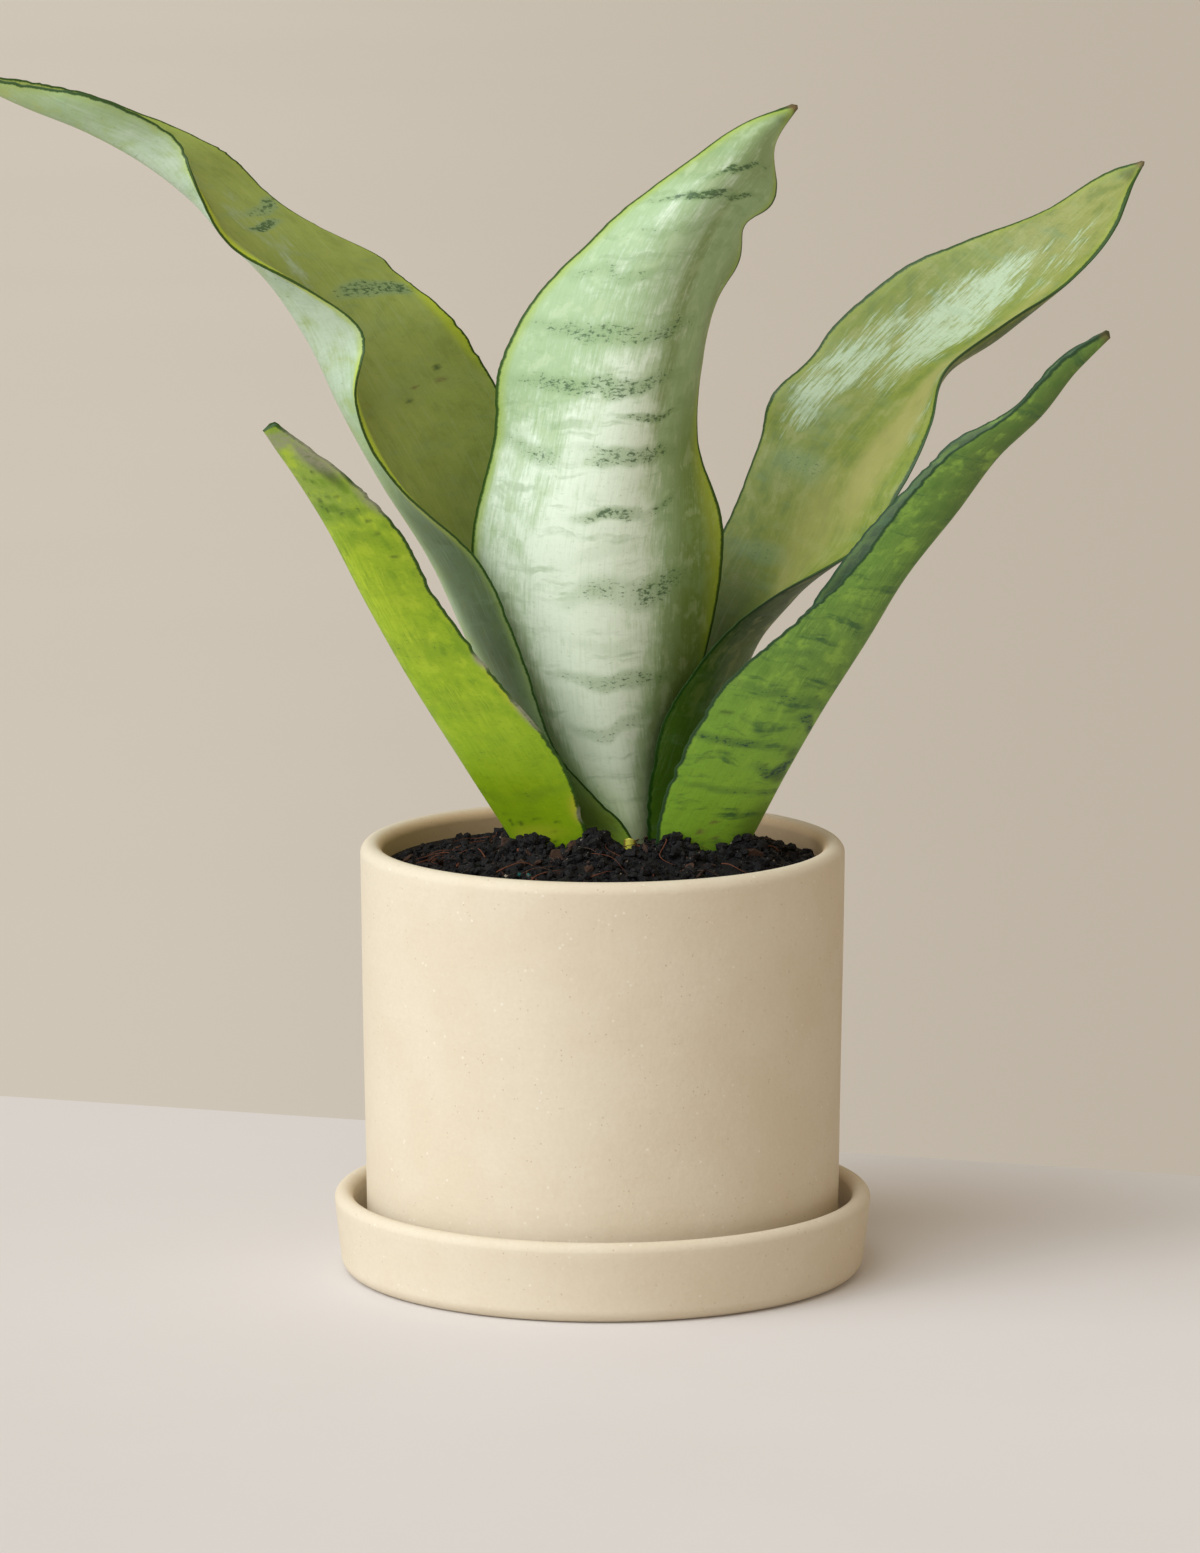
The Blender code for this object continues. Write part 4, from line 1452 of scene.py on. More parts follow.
    front_left = Leaf(
        "leaf_front_left",
        LEAF_FRONT_LEFT,
        "leaf_bright",
        LeafFinish(
            outer=tone(148, 178, 30),
            inner=tone(124, 152, 34),
            foot=tone(140, 176, 14),
            foot_end=0.09,
            olive=tone(140, 162, 74),
            silver=tone(174, 198, 46),
            deep=tone(104, 142, 20),
            light=tone(178, 200, 48),
            haze=tone(84, 118, 30),
            scar=tone(148, 146, 120),
            mottle=0.0,
            blotch=0.6,
            rim_amount=0.3,
            rim=tone(156, 176, 44),
            speckle=0.4,
            zebra=0.15,
        ),
        marks=(
            Mark(olive, 144, 0.0, 24, 1.5, 0.8),
            Mark(silver, 100, 0.3, 30, 0.5, 0.6, outer),
            Mark(silver, 60, 0.6, 24, 0.4, 0.5, outer),
            Mark(band, 131, 0.5, 2.0, 0.6, 0.6),
            Mark(band, 119, 0.5, 3.5, 0.8, 0.4),
            Mark(band, 86, 0.5, 4.5, 0.8, 0.45),
            Mark(band, 68, 0.5, 3.5, 0.8, 0.35),
            Mark(band, 38, 0.4, 3.0, 0.8, 0.45),
            Mark(scar, 152, 0.0, 3.0, 1.6, 0.8),
            Mark(scar, 147, 1.0, 7.0, 0.5, 0.85),
            Mark(shade, 144, 0.8, 8.0, 0.14, 0.8),
            Mark(shade, 139, 0.97, 3.0, 0.05, 0.9),
            Mark(scar, 133, 1.0, 6.0, 0.14, 0.7),
            Mark(scar, 82, 1.0, 3.0, 0.07, 0.8),
            Mark(scar, 64, 1.0, 7.0, 0.05, 0.8),
            Mark(gold, 72, 1.0, 12, 0.07, 0.5),
            Mark(gold, 31, 1.0, 6.0, 0.1, 0.9),
            Mark(scar, 29, 1.0, 3.0, 0.05, 0.6),
            Mark(gold, 24, 0.5, 3.5, 0.4, 0.45),
            *flecks(5, 14, (112, 144), (0.15, 0.95), 0.75),
            *flecks(6, 9, (20, 34), (0.2, 0.8), 0.6),
        ),
        flares=(Flare(1, 72, 16, 0.8, 0.7),),
        seed=17,
        ripple=0.25,
    )
    front_right = Leaf(
        "leaf_front_right",
        LEAF_FRONT_RIGHT,
        "leaf_deep",
        LeafFinish(
            outer=tone(104, 140, 54),
            # the inner side's dark green is painted shade inside the channel
            inner=tone(36, 60, 18),
            foot=tone(132, 176, 46),
            foot_end=0.09,
            silver=tone(140, 174, 76),
            band=tone(20, 54, 48),
            haze=tone(52, 90, 44),
            olive=tone(80, 100, 44),
            deep=tone(74, 110, 38),
            light=tone(142, 176, 66),
            margin=tone(28, 60, 30),
            mottle=0.2,
            blotch=0.55,
            rim_amount=0.25,
            rim=tone(112, 144, 58),
            speckle=0.6,
            zebra=0.9,
        ),
        marks=(
            Mark(silver, 90, 0.6, 50, 0.5, 0.35, outer),
            Mark(band, 88, 0.4, 2.0, 0.6, 0.4, outer, 3),
            Mark(band, 76, 0.4, 2.5, 0.7, 0.5, outer, 3),
            Mark(band, 65, 0.5, 2.0, 0.8, 0.6, outer, 3),
            Mark(band, 58, 0.16, 2.6, 0.3, 1.0, outer, 3),
            Mark(band, 51, 0.5, 1.8, 0.8, 0.8, outer, 3),
            Mark(band, 45, 0.24, 2.8, 0.36, 1.0, outer, 3),
            Mark(band, 37, 0.5, 1.6, 0.6, 0.7, outer, 3),
            Mark(band, 104, 0.4, 3.0, 0.7, 0.35, outer, 3),
            Mark(band, 122, 0.4, 3.0, 0.7, 0.35, outer, 3),
            Mark(shade, 43, 0.12, 2.5, 0.2, 0.7, outer),
            Mark(shade, 50, 0.12, 2.0, 0.14, 0.6, outer),
            Mark(shade, 28, 0.1, 8.0, 0.3, 0.45, outer),
            Mark(scar, 26, 0.7, 0.9, 0.04, 0.8, outer),
            Mark(scar, 29, 0.62, 0.7, 0.04, 0.8, outer),
            Mark(scar, 24, 0.55, 0.7, 0.04, 0.8, outer),
            Mark(olive, 165, 0.0, 55, 1.4, 0.7),
            Mark(scar, 191, 0.0, 1.8, 1.5, 0.6),
            # painted shade along the far half, inside the channel
            Mark(shade, 90, -0.9, 74, 0.3, 0.9),
            *flecks(8, 12, (30, 120), (0.1, 0.9), 0.7, 0.7),
        ),
        flares=(Flare(-1, 149, 6, -1.2, 0.5),),
        seed=23,
        ripple=0.25,
    )
    stub = Leaf(
        "sheath_stub",
        SHEATH_STUB,
        "sheath",
        LeafFinish(
            outer=tone(206, 198, 70),
            inner=tone(176, 170, 60),
            foot=tone(150, 120, 60),
            foot_end=0.01,
            rim_amount=0.0,
            margin=tone(120, 96, 40),
            olive=tone(172, 160, 70),
        ),
        seed=29,
        pointed=False,
        rows_per_mm=3.0,
        across_points=25,
        thickness_base=1.2,
        ripple=0.1,
        nick=0.1,
    )
    return centre, left, right, front_left, front_right, stub


# ---------------------------------------------------------------------------
# Soil
# ---------------------------------------------------------------------------


@dataclass(frozen=True)
class SoilFinish:
    """Dark, damp potting soil. A crumb's own tone picks humus, bark, rust or a pale fleck."""

    humus: Colour = tone(17, 13, 12)
    damp: Colour = tone(7, 5, 8)
    bark: Colour = tone(62, 42, 30)
    rust: Colour = tone(104, 58, 36)
    pale: Colour = tone(160, 146, 124)
    teal: Colour = tone(40, 110, 104)

    def make(self, name: str) -> bpy.types.Material:
        """Weave the soil's material from object coordinates and the points' `tone`.

        Args:
            name: the material's name.

        Returns:
            A material that all three pieces of soil share.
        """
        w = Weaver(name)
        place = w.place()
        clump = w.noise(place, 260.0, 4.0, 0.65)
        grit = w.noise(place, 1900.0, 3.0, 0.7)
        colour = w.mix(w.span(clump, 0.35, 0.62), self.damp, self.humus)
        colour = w.mix(w.span(grit, 0.6, 0.78, 0.0, 0.4), colour, self.bark)
        picked = w.value("tone")
        # painted glints: tiny pale specks on the clumps stand in for sparkle on the damp grains
        glint = w.math("MULTIPLY", w.span(w.cells(place, 900.0), 0.16, 0.08), w.span(clump, 0.5, 0.6))
        colour = w.mix(w.math("MULTIPLY", glint, 0.5), colour, self.pale)
        for level, chosen in ((0.35, self.bark), (0.55, self.rust), (0.75, self.pale), (0.93, self.teal)):
            colour = w.mix(w.span(picked, level - 0.06, level), colour, chosen)
        normal = w.bump(clump, 0.0009)
        normal = w.bump(grit, 0.00035, normal)
        return w.finish(colour, w.span(grit, 0.3, 0.7, 0.55, 0.95), normal, Specular_IOR_Level=0.3)


@dataclass
class Soil:
    """The mound in the pot and everything loose on it. Sizes are in millimetres.

    Attributes:
        rise: how far the mound stands above its edge.
        mound_flat: share of the radius that is level around the mound's centre.
        gap: the slit between the soil and the pot's wall.
        lump_calm: share of the radius from which lumps and heaps die away.
        clod_grain: millimetres for one noise unit of the rough top.
        clod_height: height of that roughness.
        clod_sink: how far the rough top lies under the smooth one.
        clod_calm: share of the radius from which the roughness dies away.
        bevel: the middle of the bottom's rounding, in from the wall and up from the floor.
        crumb_least: half size of the smallest crumb.
        crumb_more: how much larger the largest one is.
        crumb_bias: power that makes small crumbs the more common.
        crumb_squeeze: least and greatest factor on each of a crumb's half sizes.
        crumb_rise: least and greatest share of its size that a crumb is lifted by.
        crumb_sink: how far every crumb is pressed in.
        heap_spread: spread of the crumbs about a heap, as a share of its radius.
        chip_share: share of the crumbs that are flat chips of bark.
        pale_every: one small crumb in so many is pale.
        rust_every: one small crumb in so many is pale or rusty.
        fibre_bend: spread of the fibres' sideways bends, as a share of their length.
        fibre_waver: spread of the waves on top of those bends, as a share of their length.
        fibre_arch: least and greatest height of a fibre's arch.
        fibre_lift: how far a fibre's ends lie above the mound.
        fibre_taper: share of its radius that a fibre loses towards its end.
        heaps: x, y, radius and height of each larger heap.
    """

    finish: SoilFinish = SoilFinish()
    edge_z: float = 109.8
    rise: float = 7.0
    mound_centre: tuple[float, float] = (6.0, -2.0)
    mound_flat: float = 0.3
    wall_radius: float = 59.0
    gap: float = 0.3
    lump_count: int = 46
    lump_seed: int = 11
    bottom_fillet: float = 6.0
    rings: int = 110
    steps: int = 300
    crumb_count: int = 4800
    crumb_seed: int = 31
    crumb_rows: int = 3
    crumb_sides: int = 6
    crumb_inset: float = 2.6
    crumb_least: float = 0.3
    crumb_more: float = 1.4
    crumb_bias: float = 4.5
    crumb_squeeze: tuple[float, float] = (0.6, 1.25)
    crumb_rise: tuple[float, float] = (-0.1, 0.75)
    crumb_sink: float = 0.3
    heap_spread: float = 0.6
    chip_share: float = 0.06
    chip_stretch: Point = (2.1, 1.1, 0.4)
    chip_tones: tuple[float, ...] = (0.1, 0.36, 0.36, 0.5)
    heaped_share: float = 0.22
    small_size: float = 0.75
    pale_tone: float = 0.8
    pale_every: int = 60
    rust_tone: float = 0.6
    rust_every: int = 25
    teal_tone: float = 1.0
    teal_lift: float = 0.8
    teal_spots: tuple[tuple[float, float], ...] = ((-22.0, -33.0), (-19.5, -35.0))
    fibre_count: int = 90
    fibre_seed: int = 47
    fibre_points: int = 12
    fibre_sides: int = 5
    fibre_inset: float = 2.5
    fibre_bend: float = 0.22
    fibre_waver: float = 0.09
    fibre_arch: tuple[float, float] = (0.2, 1.6)
    fibre_lift: float = 0.35
    fibre_taper: float = 0.75
    fibre_length: tuple[float, float] = (4.0, 15.0)
    fibre_radius: tuple[float, float] = (0.09, 0.26)
    fibre_tones: tuple[float, ...] = (0.1, 0.36, 0.56, 0.56)
    scatter_reach: float = 50.0
    lump_radius: tuple[float, float] = (3.5, 7.0)
    lump_height: tuple[float, float] = (0.5, 2.0)
    lump_calm: float = 0.8
    clod_grain: float = 2.6
    clod_height: float = 0.9
    clod_sink: float = 0.5
    clod_calm: float = 0.93
    bevel: float = 1.8
    heaps: tuple[tuple[float, float, float, float], ...] = (
        (-19.0, -16.0, 5.5, 4.2),
        (-5.0, -23.0, 6.0, 2.6),
        (-1.0, -18.0, 3.5, 2.2),
        (20.0, -22.0, 6.0, 3.6),
        (38.0, -15.0, 7.0, 4.0),
        (-34.0, -6.0, 9.0, 1.6),
        (2.0, -33.0, 12.0, 1.0),
    )

    def height(self, x: Array, y: Array) -> Array:
        """The edge's height, plus an eased mound, plus seeded round lumps and heaps.

        Args:
            x: millimetres from the axis.
            y: millimetres from the axis.

        Returns:
            Heights in millimetres.
        """
        reach = np.hypot(x - self.mound_centre[0], y - self.mound_centre[1]) / self.wall_radius
        slope = smooth_step((reach - self.mound_flat) / (1.0 - self.mound_flat))
        level = self.edge_z + self.rise * (1.0 - slope)
        outwards = np.hypot(x, y) / self.wall_radius
        fade = 1.0 - smooth_step((outwards - self.lump_calm) / (1.0 - self.lump_calm))
        draw = np.random.default_rng(self.lump_seed)
        distance = self.scatter_reach * np.sqrt(draw.uniform(0.02, 1.0, self.lump_count))
        bearing = draw.uniform(0.0, math.tau, self.lump_count)
        radius = draw.uniform(*self.lump_radius, self.lump_count)
        lift = draw.uniform(*self.lump_height, self.lump_count)
        for d, b, r, h in zip(distance, bearing, radius, lift):
            away = (x - d * math.cos(b)) ** 2 + (y - d * math.sin(b)) ** 2
            level = level + fade * h * np.exp(-away / r**2)
        for heap_x, heap_y, r, h in self.heaps:
            level = level + fade * h * np.exp(-((x - heap_x) ** 2 + (y - heap_y) ** 2) / r**2)
        return level

    def mound(self) -> Surface:
        """The block: a fine disc of rings for the top, then the wall, the fillet and the floor.

        Returns:
            The closed block, with a tone of 0.
        """
        radius = self.wall_radius - self.gap
        bearing = np.linspace(0.0, math.tau, self.steps, endpoint=False)[None, :]
        reach = radius * (np.arange(1, self.rings + 1) / self.rings)[:, None]
        x, y = reach * np.cos(bearing), reach * np.sin(bearing)
        base = self.height(x, y)
        rough = np.stack([x / self.clod_grain, y / self.clod_grain, np.full_like(x, 0.7)], -1)
        fade = 1.0 - smooth_step((reach / radius - self.clod_calm) / (1.0 - self.clod_calm))
        top = base + (self.clod_height * layered_noise(rough, 5, 4) - self.clod_sink) * fade
        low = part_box("soil")[0].z / MM
        rows = [np.stack([x, y, top], -1)]
        fillet, bevel = self.bottom_fillet, self.bevel
        for inset, height in ((0.0, low + fillet), (bevel, low + bevel), (fillet, low)):
            wall = radius - inset
            ring = [wall * np.cos(bearing), wall * np.sin(bearing), np.full_like(bearing, height)]
            rows.append(np.stack(ring, -1))
        points = np.concatenate(rows).reshape(-1, 3)
        count = len(points) // self.steps
        middle = float(self.height(np.zeros(1), np.zeros(1))[0])
        points = np.concatenate([points, [[0.0, 0.0, middle], [0.0, 0.0, low]]])
        first = np.arange(self.steps)
        faces = [
            grid_faces(count, self.steps, closed=True),
            fan_faces(first[::-1], len(points) - 2),
            fan_faces(first + (count - 1) * self.steps, len(points) - 1),
        ]
        return Surface(points * MM, faces, None, {"tone": np.zeros(len(points))})

    def turns(self, draw: np.random.Generator, count: int) -> Array:
        """Seeded rotations, from unit quaternions.

        Args:
            draw: the random draw.
            count: how many there are.

        Returns:
            One 3 x 3 matrix for each.
        """
        q = draw.normal(size=(count, 4))
        w, x, y, z = (q / np.linalg.norm(q, axis=1, keepdims=True)).T
        rows = [
            [1 - 2 * (y * y + z * z), 2 * (x * y - z * w), 2 * (x * z + y * w)],
            [2 * (x * y + z * w), 1 - 2 * (x * x + z * z), 2 * (y * z - x * w)],
            [2 * (x * z - y * w), 2 * (y * z + x * w), 1 - 2 * (x * x + y * y)],
        ]
        return np.moveaxis(np.array(rows), -1, 0)

    def crumbs(self) -> Surface:
        """Loose crumbs and chips: small balls, each squeezed, dented and turned its own way.

        A ball's point at turn a and height angle t is (sin t cos a, sin t sin a, cos t), times
        its three half sizes, times 1 + n / 2, where n is noise of its own.

        Returns:
            All the crumbs as one surface, each with its own tone.
        """
        draw = np.random.default_rng(self.crumb_seed)
        count = self.crumb_count
        turn = np.linspace(0.0, math.pi, self.crumb_rows + 2)[1:-1, None]
        side = np.linspace(0.0, math.tau, self.crumb_sides, endpoint=False)[None, :]
        ball = np.stack(
            [np.sin(turn) * np.cos(side), np.sin(turn) * np.sin(side), np.cos(turn) + 0.0 * side], -1
        ).reshape(-1, 3)
        ball = np.concatenate([ball, [[0.0, 0.0, 1.0], [0.0, 0.0, -1.0]]])
        size = self.crumb_least + self.crumb_more * draw.uniform(0.0, 1.0, count) ** self.crumb_bias
        chip = draw.uniform(0.0, 1.0, count) < self.chip_share
        squeeze = draw.uniform(*self.crumb_squeeze, (count, 3))
        squeeze[chip] *= np.array(self.chip_stretch)
        half = size[:, None] * squeeze
        shifted = ball[None] * 1.7 + draw.uniform(0.0, 90.0, (count, 1, 3))
        dent = 1.0 + 0.5 * lattice_noise(shifted, 9)[..., None]
        local = ball[None] * half[:, None] * dent
        local = np.einsum("nij,npj->npi", self.turns(draw, count), local)
        limit = self.wall_radius - self.crumb_inset
        distance = limit * np.sqrt(draw.uniform(0.0, 1.0, count))
        bearing = draw.uniform(0.0, math.tau, count)
        x, y = distance * np.cos(bearing), distance * np.sin(bearing)
        heaped = draw.uniform(0.0, 1.0, count) < self.heaped_share
        pick = draw.integers(0, len(self.heaps), count)
        heaps = np.array(self.heaps)
        spread = draw.normal(size=(count, 2)) * heaps[pick, 2:3] * self.heap_spread
        x = np.where(heaped, heaps[pick, 0] + spread[:, 0], x)
        y = np.where(heaped, heaps[pick, 1] + spread[:, 1], y)
        far = np.maximum(np.hypot(x, y) / limit, 1.0)
        x, y = x / far, y / far
        z = self.height(x, y) + size * draw.uniform(*self.crumb_rise, count) - self.crumb_sink
        points = local + np.stack([x, y, z], -1)[:, None]
        shade = draw.uniform(0.0, 0.26, count)
        shade[chip] = draw.choice(self.chip_tones, chip.sum())
        small = np.flatnonzero((size < self.small_size) & ~chip)
        pale, rusty = len(small) // self.pale_every, len(small) // self.rust_every
        shade[small[:pale]] = self.pale_tone
        shade[small[pale:rusty]] = self.rust_tone
        for spot, place in zip(small[-len(self.teal_spots) :], self.teal_spots):
            shade[spot] = self.teal_tone
            spot_x, spot_y = np.array([place[0]]), np.array([place[1]])
            lift = float(self.height(spot_x, spot_y)[0]) + self.teal_lift
            points[spot] += np.array([place[0], place[1], lift]) - points[spot].mean(axis=0)
        per = len(ball)
        step = np.arange(count)[:, None, None] * per
        quads = grid_faces(self.crumb_rows, self.crumb_sides, closed=True)[None] + step
        top = fan_faces(np.arange(self.crumb_sides)[::-1], per - 2)[None] + step
        last = np.arange(self.crumb_sides) + (self.crumb_rows - 1) * self.crumb_sides
        low = fan_faces(last, per - 1)[None] + step
        faces = [quads.reshape(-1, 4), top.reshape(-1, 3), low.reshape(-1, 3)]
        values = {"tone": np.repeat(shade, per)}
        return Surface(points.reshape(-1, 3) * MM, faces, None, values)

    def fibres(self) -> Surface:
        """Thin root hairs and coir fibres that lie curled on the soil.

        A fibre's point at t from 0 to 1 is its middle plus length (t - 1/2) (cos b, sin b), with
        a sideways bend of sin(pi t), a waver of sin(2 pi t) and a lift of 1 - (2t - 1)^2.

        Returns:
            All the fibres as one surface, each with its own tone.
        """
        draw = np.random.default_rng(self.fibre_seed)
        count, along, sides = self.fibre_count, self.fibre_points, self.fibre_sides
        t = np.linspace(0.0, 1.0, along)[None, :]
        length = draw.uniform(*self.fibre_length, count)[:, None]
        bearing = draw.uniform(0.0, math.tau, count)[:, None]
        bend = draw.normal(0.0, self.fibre_bend, count)[:, None] * length
        waver = draw.normal(0.0, self.fibre_waver, count)[:, None] * length
        distance = self.scatter_reach * np.sqrt(draw.uniform(0.03, 1.0, count))[:, None]
        around = draw.uniform(0.0, math.tau, count)[:, None]
        run = length * (t - 0.5)
        sway = bend * np.sin(math.pi * t) + waver * np.sin(math.tau * t)
        x = distance * np.cos(around) + run * np.cos(bearing) - sway * np.sin(bearing)
        y = distance * np.sin(around) + run * np.sin(bearing) + sway * np.cos(bearing)
        far = np.maximum(np.hypot(x, y) / (self.wall_radius - self.fibre_inset), 1.0)
        x, y = x / far, y / far
        arch = draw.uniform(*self.fibre_arch, count)[:, None] * (1.0 - (2.0 * t - 1.0) ** 2)
        z = self.height(x, y) + arch + self.fibre_lift
        path = np.stack([x, y, z], -1)
        tangent = np.gradient(path, axis=1)
        tangent /= np.linalg.norm(tangent, axis=-1, keepdims=True)
        across = np.cross(tangent, np.array([0.0, 0.0, 1.0]))
        across /= np.linalg.norm(across, axis=-1, keepdims=True)
        upper = np.cross(across, tangent)
        thick = draw.uniform(*self.fibre_radius, count)[:, None] * (1.0 - self.fibre_taper * t)
        angle = np.linspace(0.0, math.tau, sides, endpoint=False)[None, None, :, None]
        ring = across[:, :, None] * np.cos(angle) + upper[:, :, None] * np.sin(angle)
        points = path[:, :, None] + thick[..., None, None] * ring
        per = along * sides
        step = np.arange(count)[:, None, None] * per
        quads = (grid_faces(along, sides, closed=True)[None] + step).reshape(-1, 4)
        faces = [quads]
        for start, turned in ((0, True), ((along - 1) * sides, False)):
            fan = np.array([[0, k, k + 1] for k in range(1, sides - 1)]) + start
            faces.append(((fan[:, ::-1] if turned else fan)[None] + step).reshape(-1, 3))
        shade = draw.choice(self.fibre_tones, count)
        return Surface(points.reshape(-1, 3) * MM, faces, None, {"tone": np.repeat(shade, per)})

    def build(self) -> None:
        """Make the mound, its crumbs and its fibres."""
        material = self.finish.make("potting_soil")
        mound = self.mound().build("soil_mound", material)
        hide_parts("soil")
        crumbs = self.crumbs().build("soil_crumbs", material)
        crumbs.data.shade_flat()
        fibres = self.fibres().build("soil_fibres", material)
        for piece in (mound, crumbs, fibres):
            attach(piece, "root")


@dataclass(frozen=True)
class RhizomeFinish:
    """The underground stem: creamy yellow, ringed with brown scars."""

    flesh: Colour = tone(214, 186, 120)
    scar: Colour = tone(134, 98, 56)

    def make(self, name: str) -> bpy.types.Material:
        """Cloudy flesh with darker rings across it.

        Args:
            name: the material's name.

        Returns:
            A material that reads object coordinates.
        """
        w = Weaver(name)
        place = w.place()
        cloud = w.noise(place, 140.0, 4.0, 0.6)
        rings = w.noise(w.stretch(place, (1.0, 0.1, 0.1)), 260.0, 2.0)
        colour = w.mix(w.span(rings, 0.52, 0.66, 0.0, 0.8), self.flesh, self.scar)
        colour = w.mix(w.span(cloud, 0.5, 0.8, 0.0, 0.4), colour, self.scar)
        rough = w.span(cloud, 0.3, 0.7, 0.5, 0.7)
        return w.finish(colour, rough, w.bump(cloud, 0.0003), Specular_IOR_Level=0.3)


def dress_rhizome() -> None:
    """Give the rhizome's CAD node its material."""
    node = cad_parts["rhizome"]
    node.data.materials.clear()
    node.data.materials.append(RhizomeFinish().make("rhizome_flesh"))
    LOG.info("rhizome: dressed")


# ---------------------------------------------------------------------------
# Studio
# ---------------------------------------------------------------------------


@dataclass(frozen=True)
class Lamp:
    """A far lamp. Angles are in degrees, and bearing 0 is on the camera's side, -90 on the left."""

    name: str
    colour: Colour
    strength: float
    bearing: float
    height: float
    size: float = 50.0
    shadow: bool = True

    def build(self) -> None:
        """Hang the lamp."""
        data = bpy.data.lights.new(self.name, "SUN")
        data.color = self.colour
        data.energy = self.strength
        data.angle = math.radians(self.size)
        data.use_shadow = self.shadow
        made = bpy.data.objects.new(self.name, data)
        made.rotation_euler = (math.radians(90.0 - self.height), 0.0, math.radians(self.bearing))
        bpy.context.scene.collection.objects.link(made)


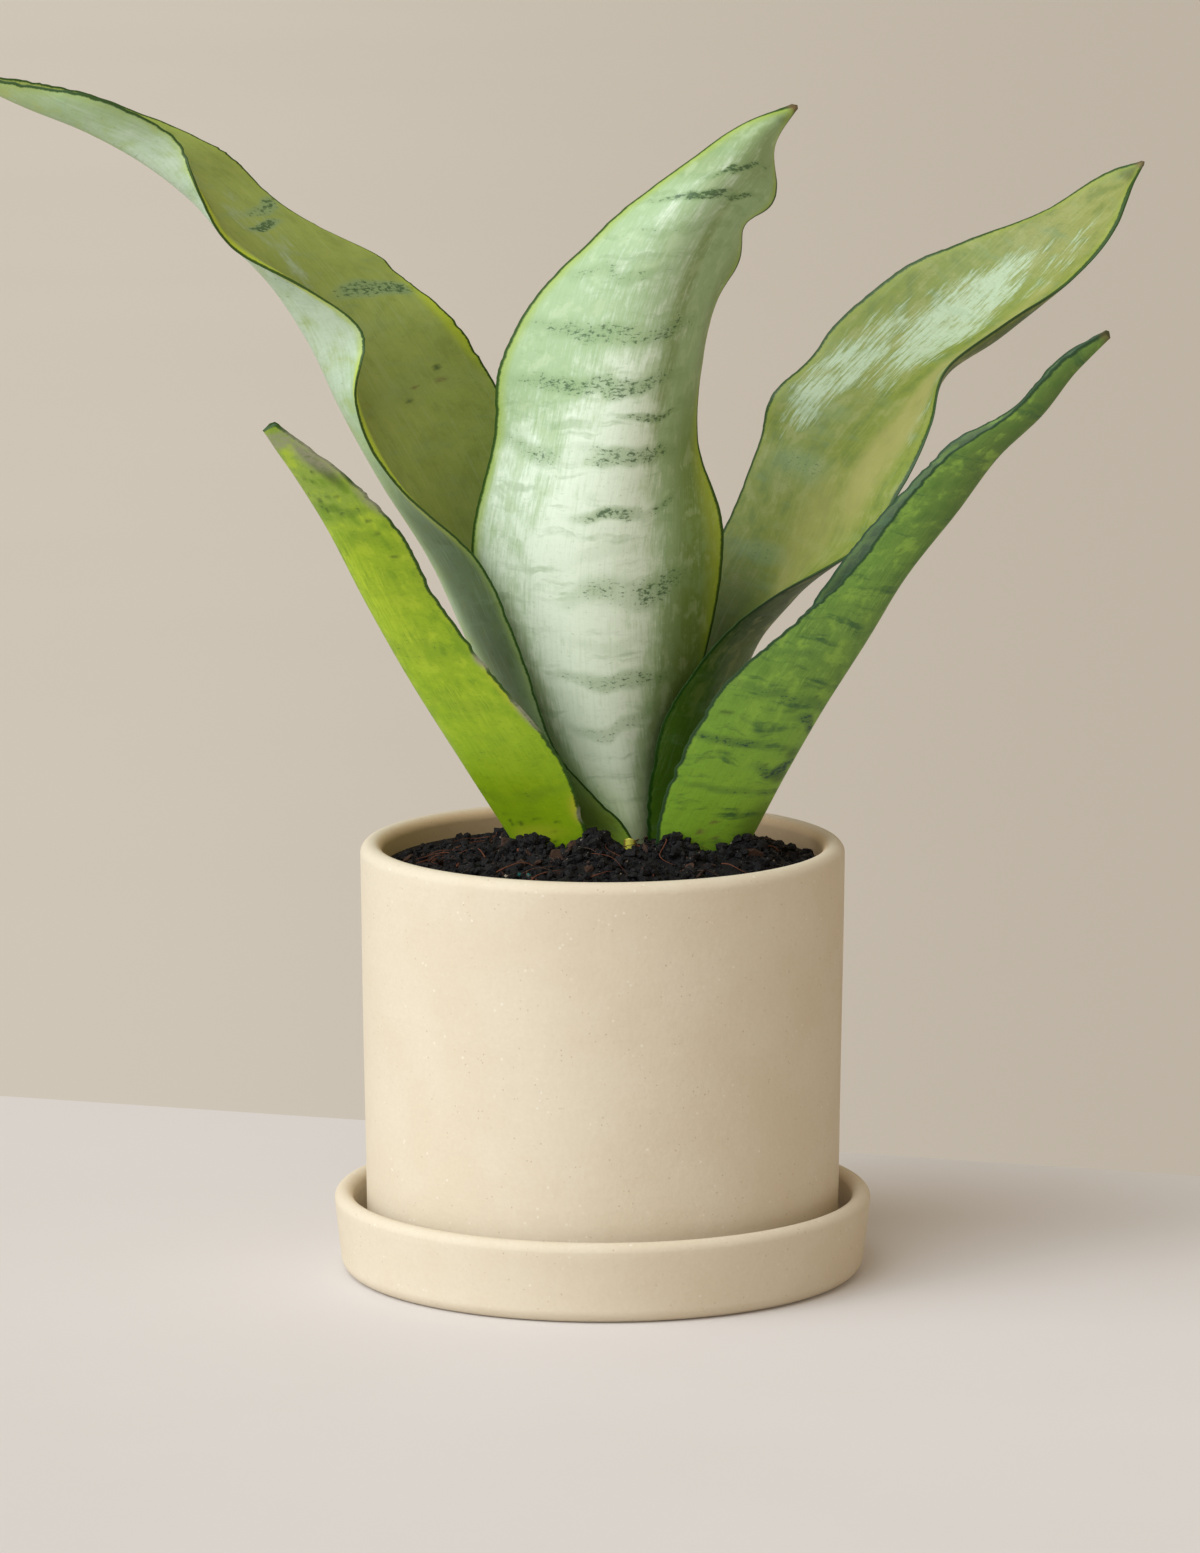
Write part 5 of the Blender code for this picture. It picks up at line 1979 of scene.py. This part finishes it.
@dataclass
class Studio:
    """A pale table, a plain backdrop, soft light and the camera. Sizes are in metres.

    Attributes:
        table_left: x and y of the left end of the table's back edge that is in view.
        table_right: x and y of its right end.
        backdrop_turn: half of the turn over which the painted shade darkens the backdrop, as x over distance.
        target: the point that the camera looks at.
        distance: how far the camera is from it.
        pitch: how far down the camera looks, in degrees.
        lens: focal length in millimetres.
    """

    table_left: tuple[float, float] = (-0.177, 0.225)
    table_right: tuple[float, float] = (0.169, 0.114)
    table_reach: float = 4.0
    table_thickness: float = 0.03
    backdrop_z: float = -0.9
    backdrop_reach: float = 40.0
    backdrop_thickness: float = 0.1
    backdrop_turn: float = 0.07
    table_colour: Colour = tone(219, 213, 208)
    backdrop_light: Colour = tone(207, 198, 185)
    # the dark end of the backdrop's painted shade, and the tone of its faint mottling
    backdrop_shade_and_mottle: Colour = tone(190, 180, 166)
    world_colour: Colour = (1.0, 0.83, 0.6)
    world_strength: float = 0.4
    lamps: tuple[Lamp, ...] = (
        Lamp("key", (0.81, 0.895, 1.0), 1.98, -38.0, 48.0),
        Lamp("side", (0.81, 0.895, 1.0), 1.45, -70.0, 22.0),
        Lamp("fill", (0.9, 0.94, 1.0), 0.38, -60.0, 50.0, shadow=False),
    )
    target: Point = (-0.00067, 0.0, 0.134)
    distance: float = 2.408
    pitch: float = 9.7
    lens: float = 208.6
    clip: tuple[float, float] = (0.1, 200.0)

    def table_finish(self) -> bpy.types.Material:
        """Smooth painted board with the faintest tooth.

        Returns:
            The table's material.
        """
        w = Weaver("pale_board")
        place = w.place()
        cloud = w.noise(place, 9.0, 4.0, 0.55)
        colour = w.mix(w.span(cloud, 0.3, 0.7, 0.0, 0.12), self.table_colour, self.backdrop_light)
        normal = w.bump(w.noise(place, 1400.0, 2.0), 0.00002)
        return w.finish(colour, 0.75, normal, Specular_IOR_Level=0.2)

    def backdrop_finish(self) -> bpy.types.Material:
        """Matte paper with painted shade that darkens it slowly from left to right.

        Returns:
            The backdrop's material.
        """
        w = Weaver("backdrop_paper")
        place = w.place()
        x, y = w.parts(place)
        bearing = w.math("DIVIDE", x, w.math("ADD", y, self.distance))
        # painted shade that darkens the backdrop from left to right
        turned = w.span(bearing, -self.backdrop_turn, self.backdrop_turn)
        colour = w.mix(turned, self.backdrop_light, self.backdrop_shade_and_mottle)
        colour = w.mix(w.span(w.noise(place, 1.2, 3.0), 0.3, 0.7, 0.0, 0.08), colour, self.backdrop_shade_and_mottle)
        return w.finish(colour, 0.9, None, Specular_IOR_Level=0.0)

    def slab(self, name: str, corners: Array, thickness: float, material: bpy.types.Material) -> None:
        """A flat prism under the four corners, as stage.

        Args:
            name: the object's name.
            corners: the top face, one row for each corner.
            thickness: how far it reaches down.
            material: the material of the whole slab.
        """
        low = corners - np.array([0.0, 0.0, thickness])
        points = np.concatenate([corners, low])
        sides = [[k, (k + 1) % 4, (k + 1) % 4 + 4, k + 4] for k in range(4)]
        faces = [np.array([[3, 2, 1, 0], [4, 5, 6, 7]] + sides)]
        piece = Surface(points, faces).build(name, material)
        piece.data.shade_flat()

    def build(self) -> None:
        """Lay the table and the backdrop, light them and set the camera."""
        left, right = np.array([*self.table_left, 0.0]), np.array([*self.table_right, 0.0])
        way = (right - left) / np.linalg.norm(right - left)
        front = np.array([0.0, -self.table_reach, 0.0])
        back_left, back_right = left - way * self.table_reach, right + way * self.table_reach
        table = np.array([back_left, back_right, back_right + front, back_left + front])
        self.slab("table", table, self.table_thickness, self.table_finish())
        reach, low = self.backdrop_reach, self.backdrop_z
        ends = ((-1.0, 1.0), (1.0, 1.0), (1.0, -1.0), (-1.0, -1.0))
        ground = np.array([[x * reach, y * reach, low] for x, y in ends])
        self.slab("backdrop", ground, self.backdrop_thickness, self.backdrop_finish())
        for lamp in self.lamps:
            lamp.build()
        world = bpy.data.worlds.new("room")
        world.use_nodes = True
        world.node_tree.nodes["Background"].inputs["Color"].default_value = (*self.world_colour, 1.0)
        world.node_tree.nodes["Background"].inputs["Strength"].default_value = self.world_strength
        bpy.context.scene.world = world
        self.camera()

    def camera(self) -> None:
        """Look along +Y and a little down at the plant from far away, with a long lens."""
        data = bpy.data.cameras.new("camera")
        data.lens = self.lens
        data.clip_start, data.clip_end = self.clip
        made = bpy.data.objects.new("camera", data)
        pitch = math.radians(self.pitch)
        back = self.distance * math.cos(pitch)
        x, y, z = self.target
        made.location = (x, y - back, z + self.distance * math.sin(pitch))
        made.rotation_euler = (math.pi / 2 - pitch, 0.0, 0.0)
        bpy.context.scene.collection.objects.link(made)
        bpy.context.scene.camera = made
        bpy.context.scene.view_settings.view_transform = "Standard"


def main() -> None:
    """Build the plant, its pot and the studio."""
    logging.basicConfig(level=logging.INFO, format="%(name)s: %(message)s")
    Pottery().build()
    Soil().build()
    dress_rhizome()
    for leaf in plant_leaves():
        leaf.build()
    Studio().build()


if __name__ == "__main__":
    main()
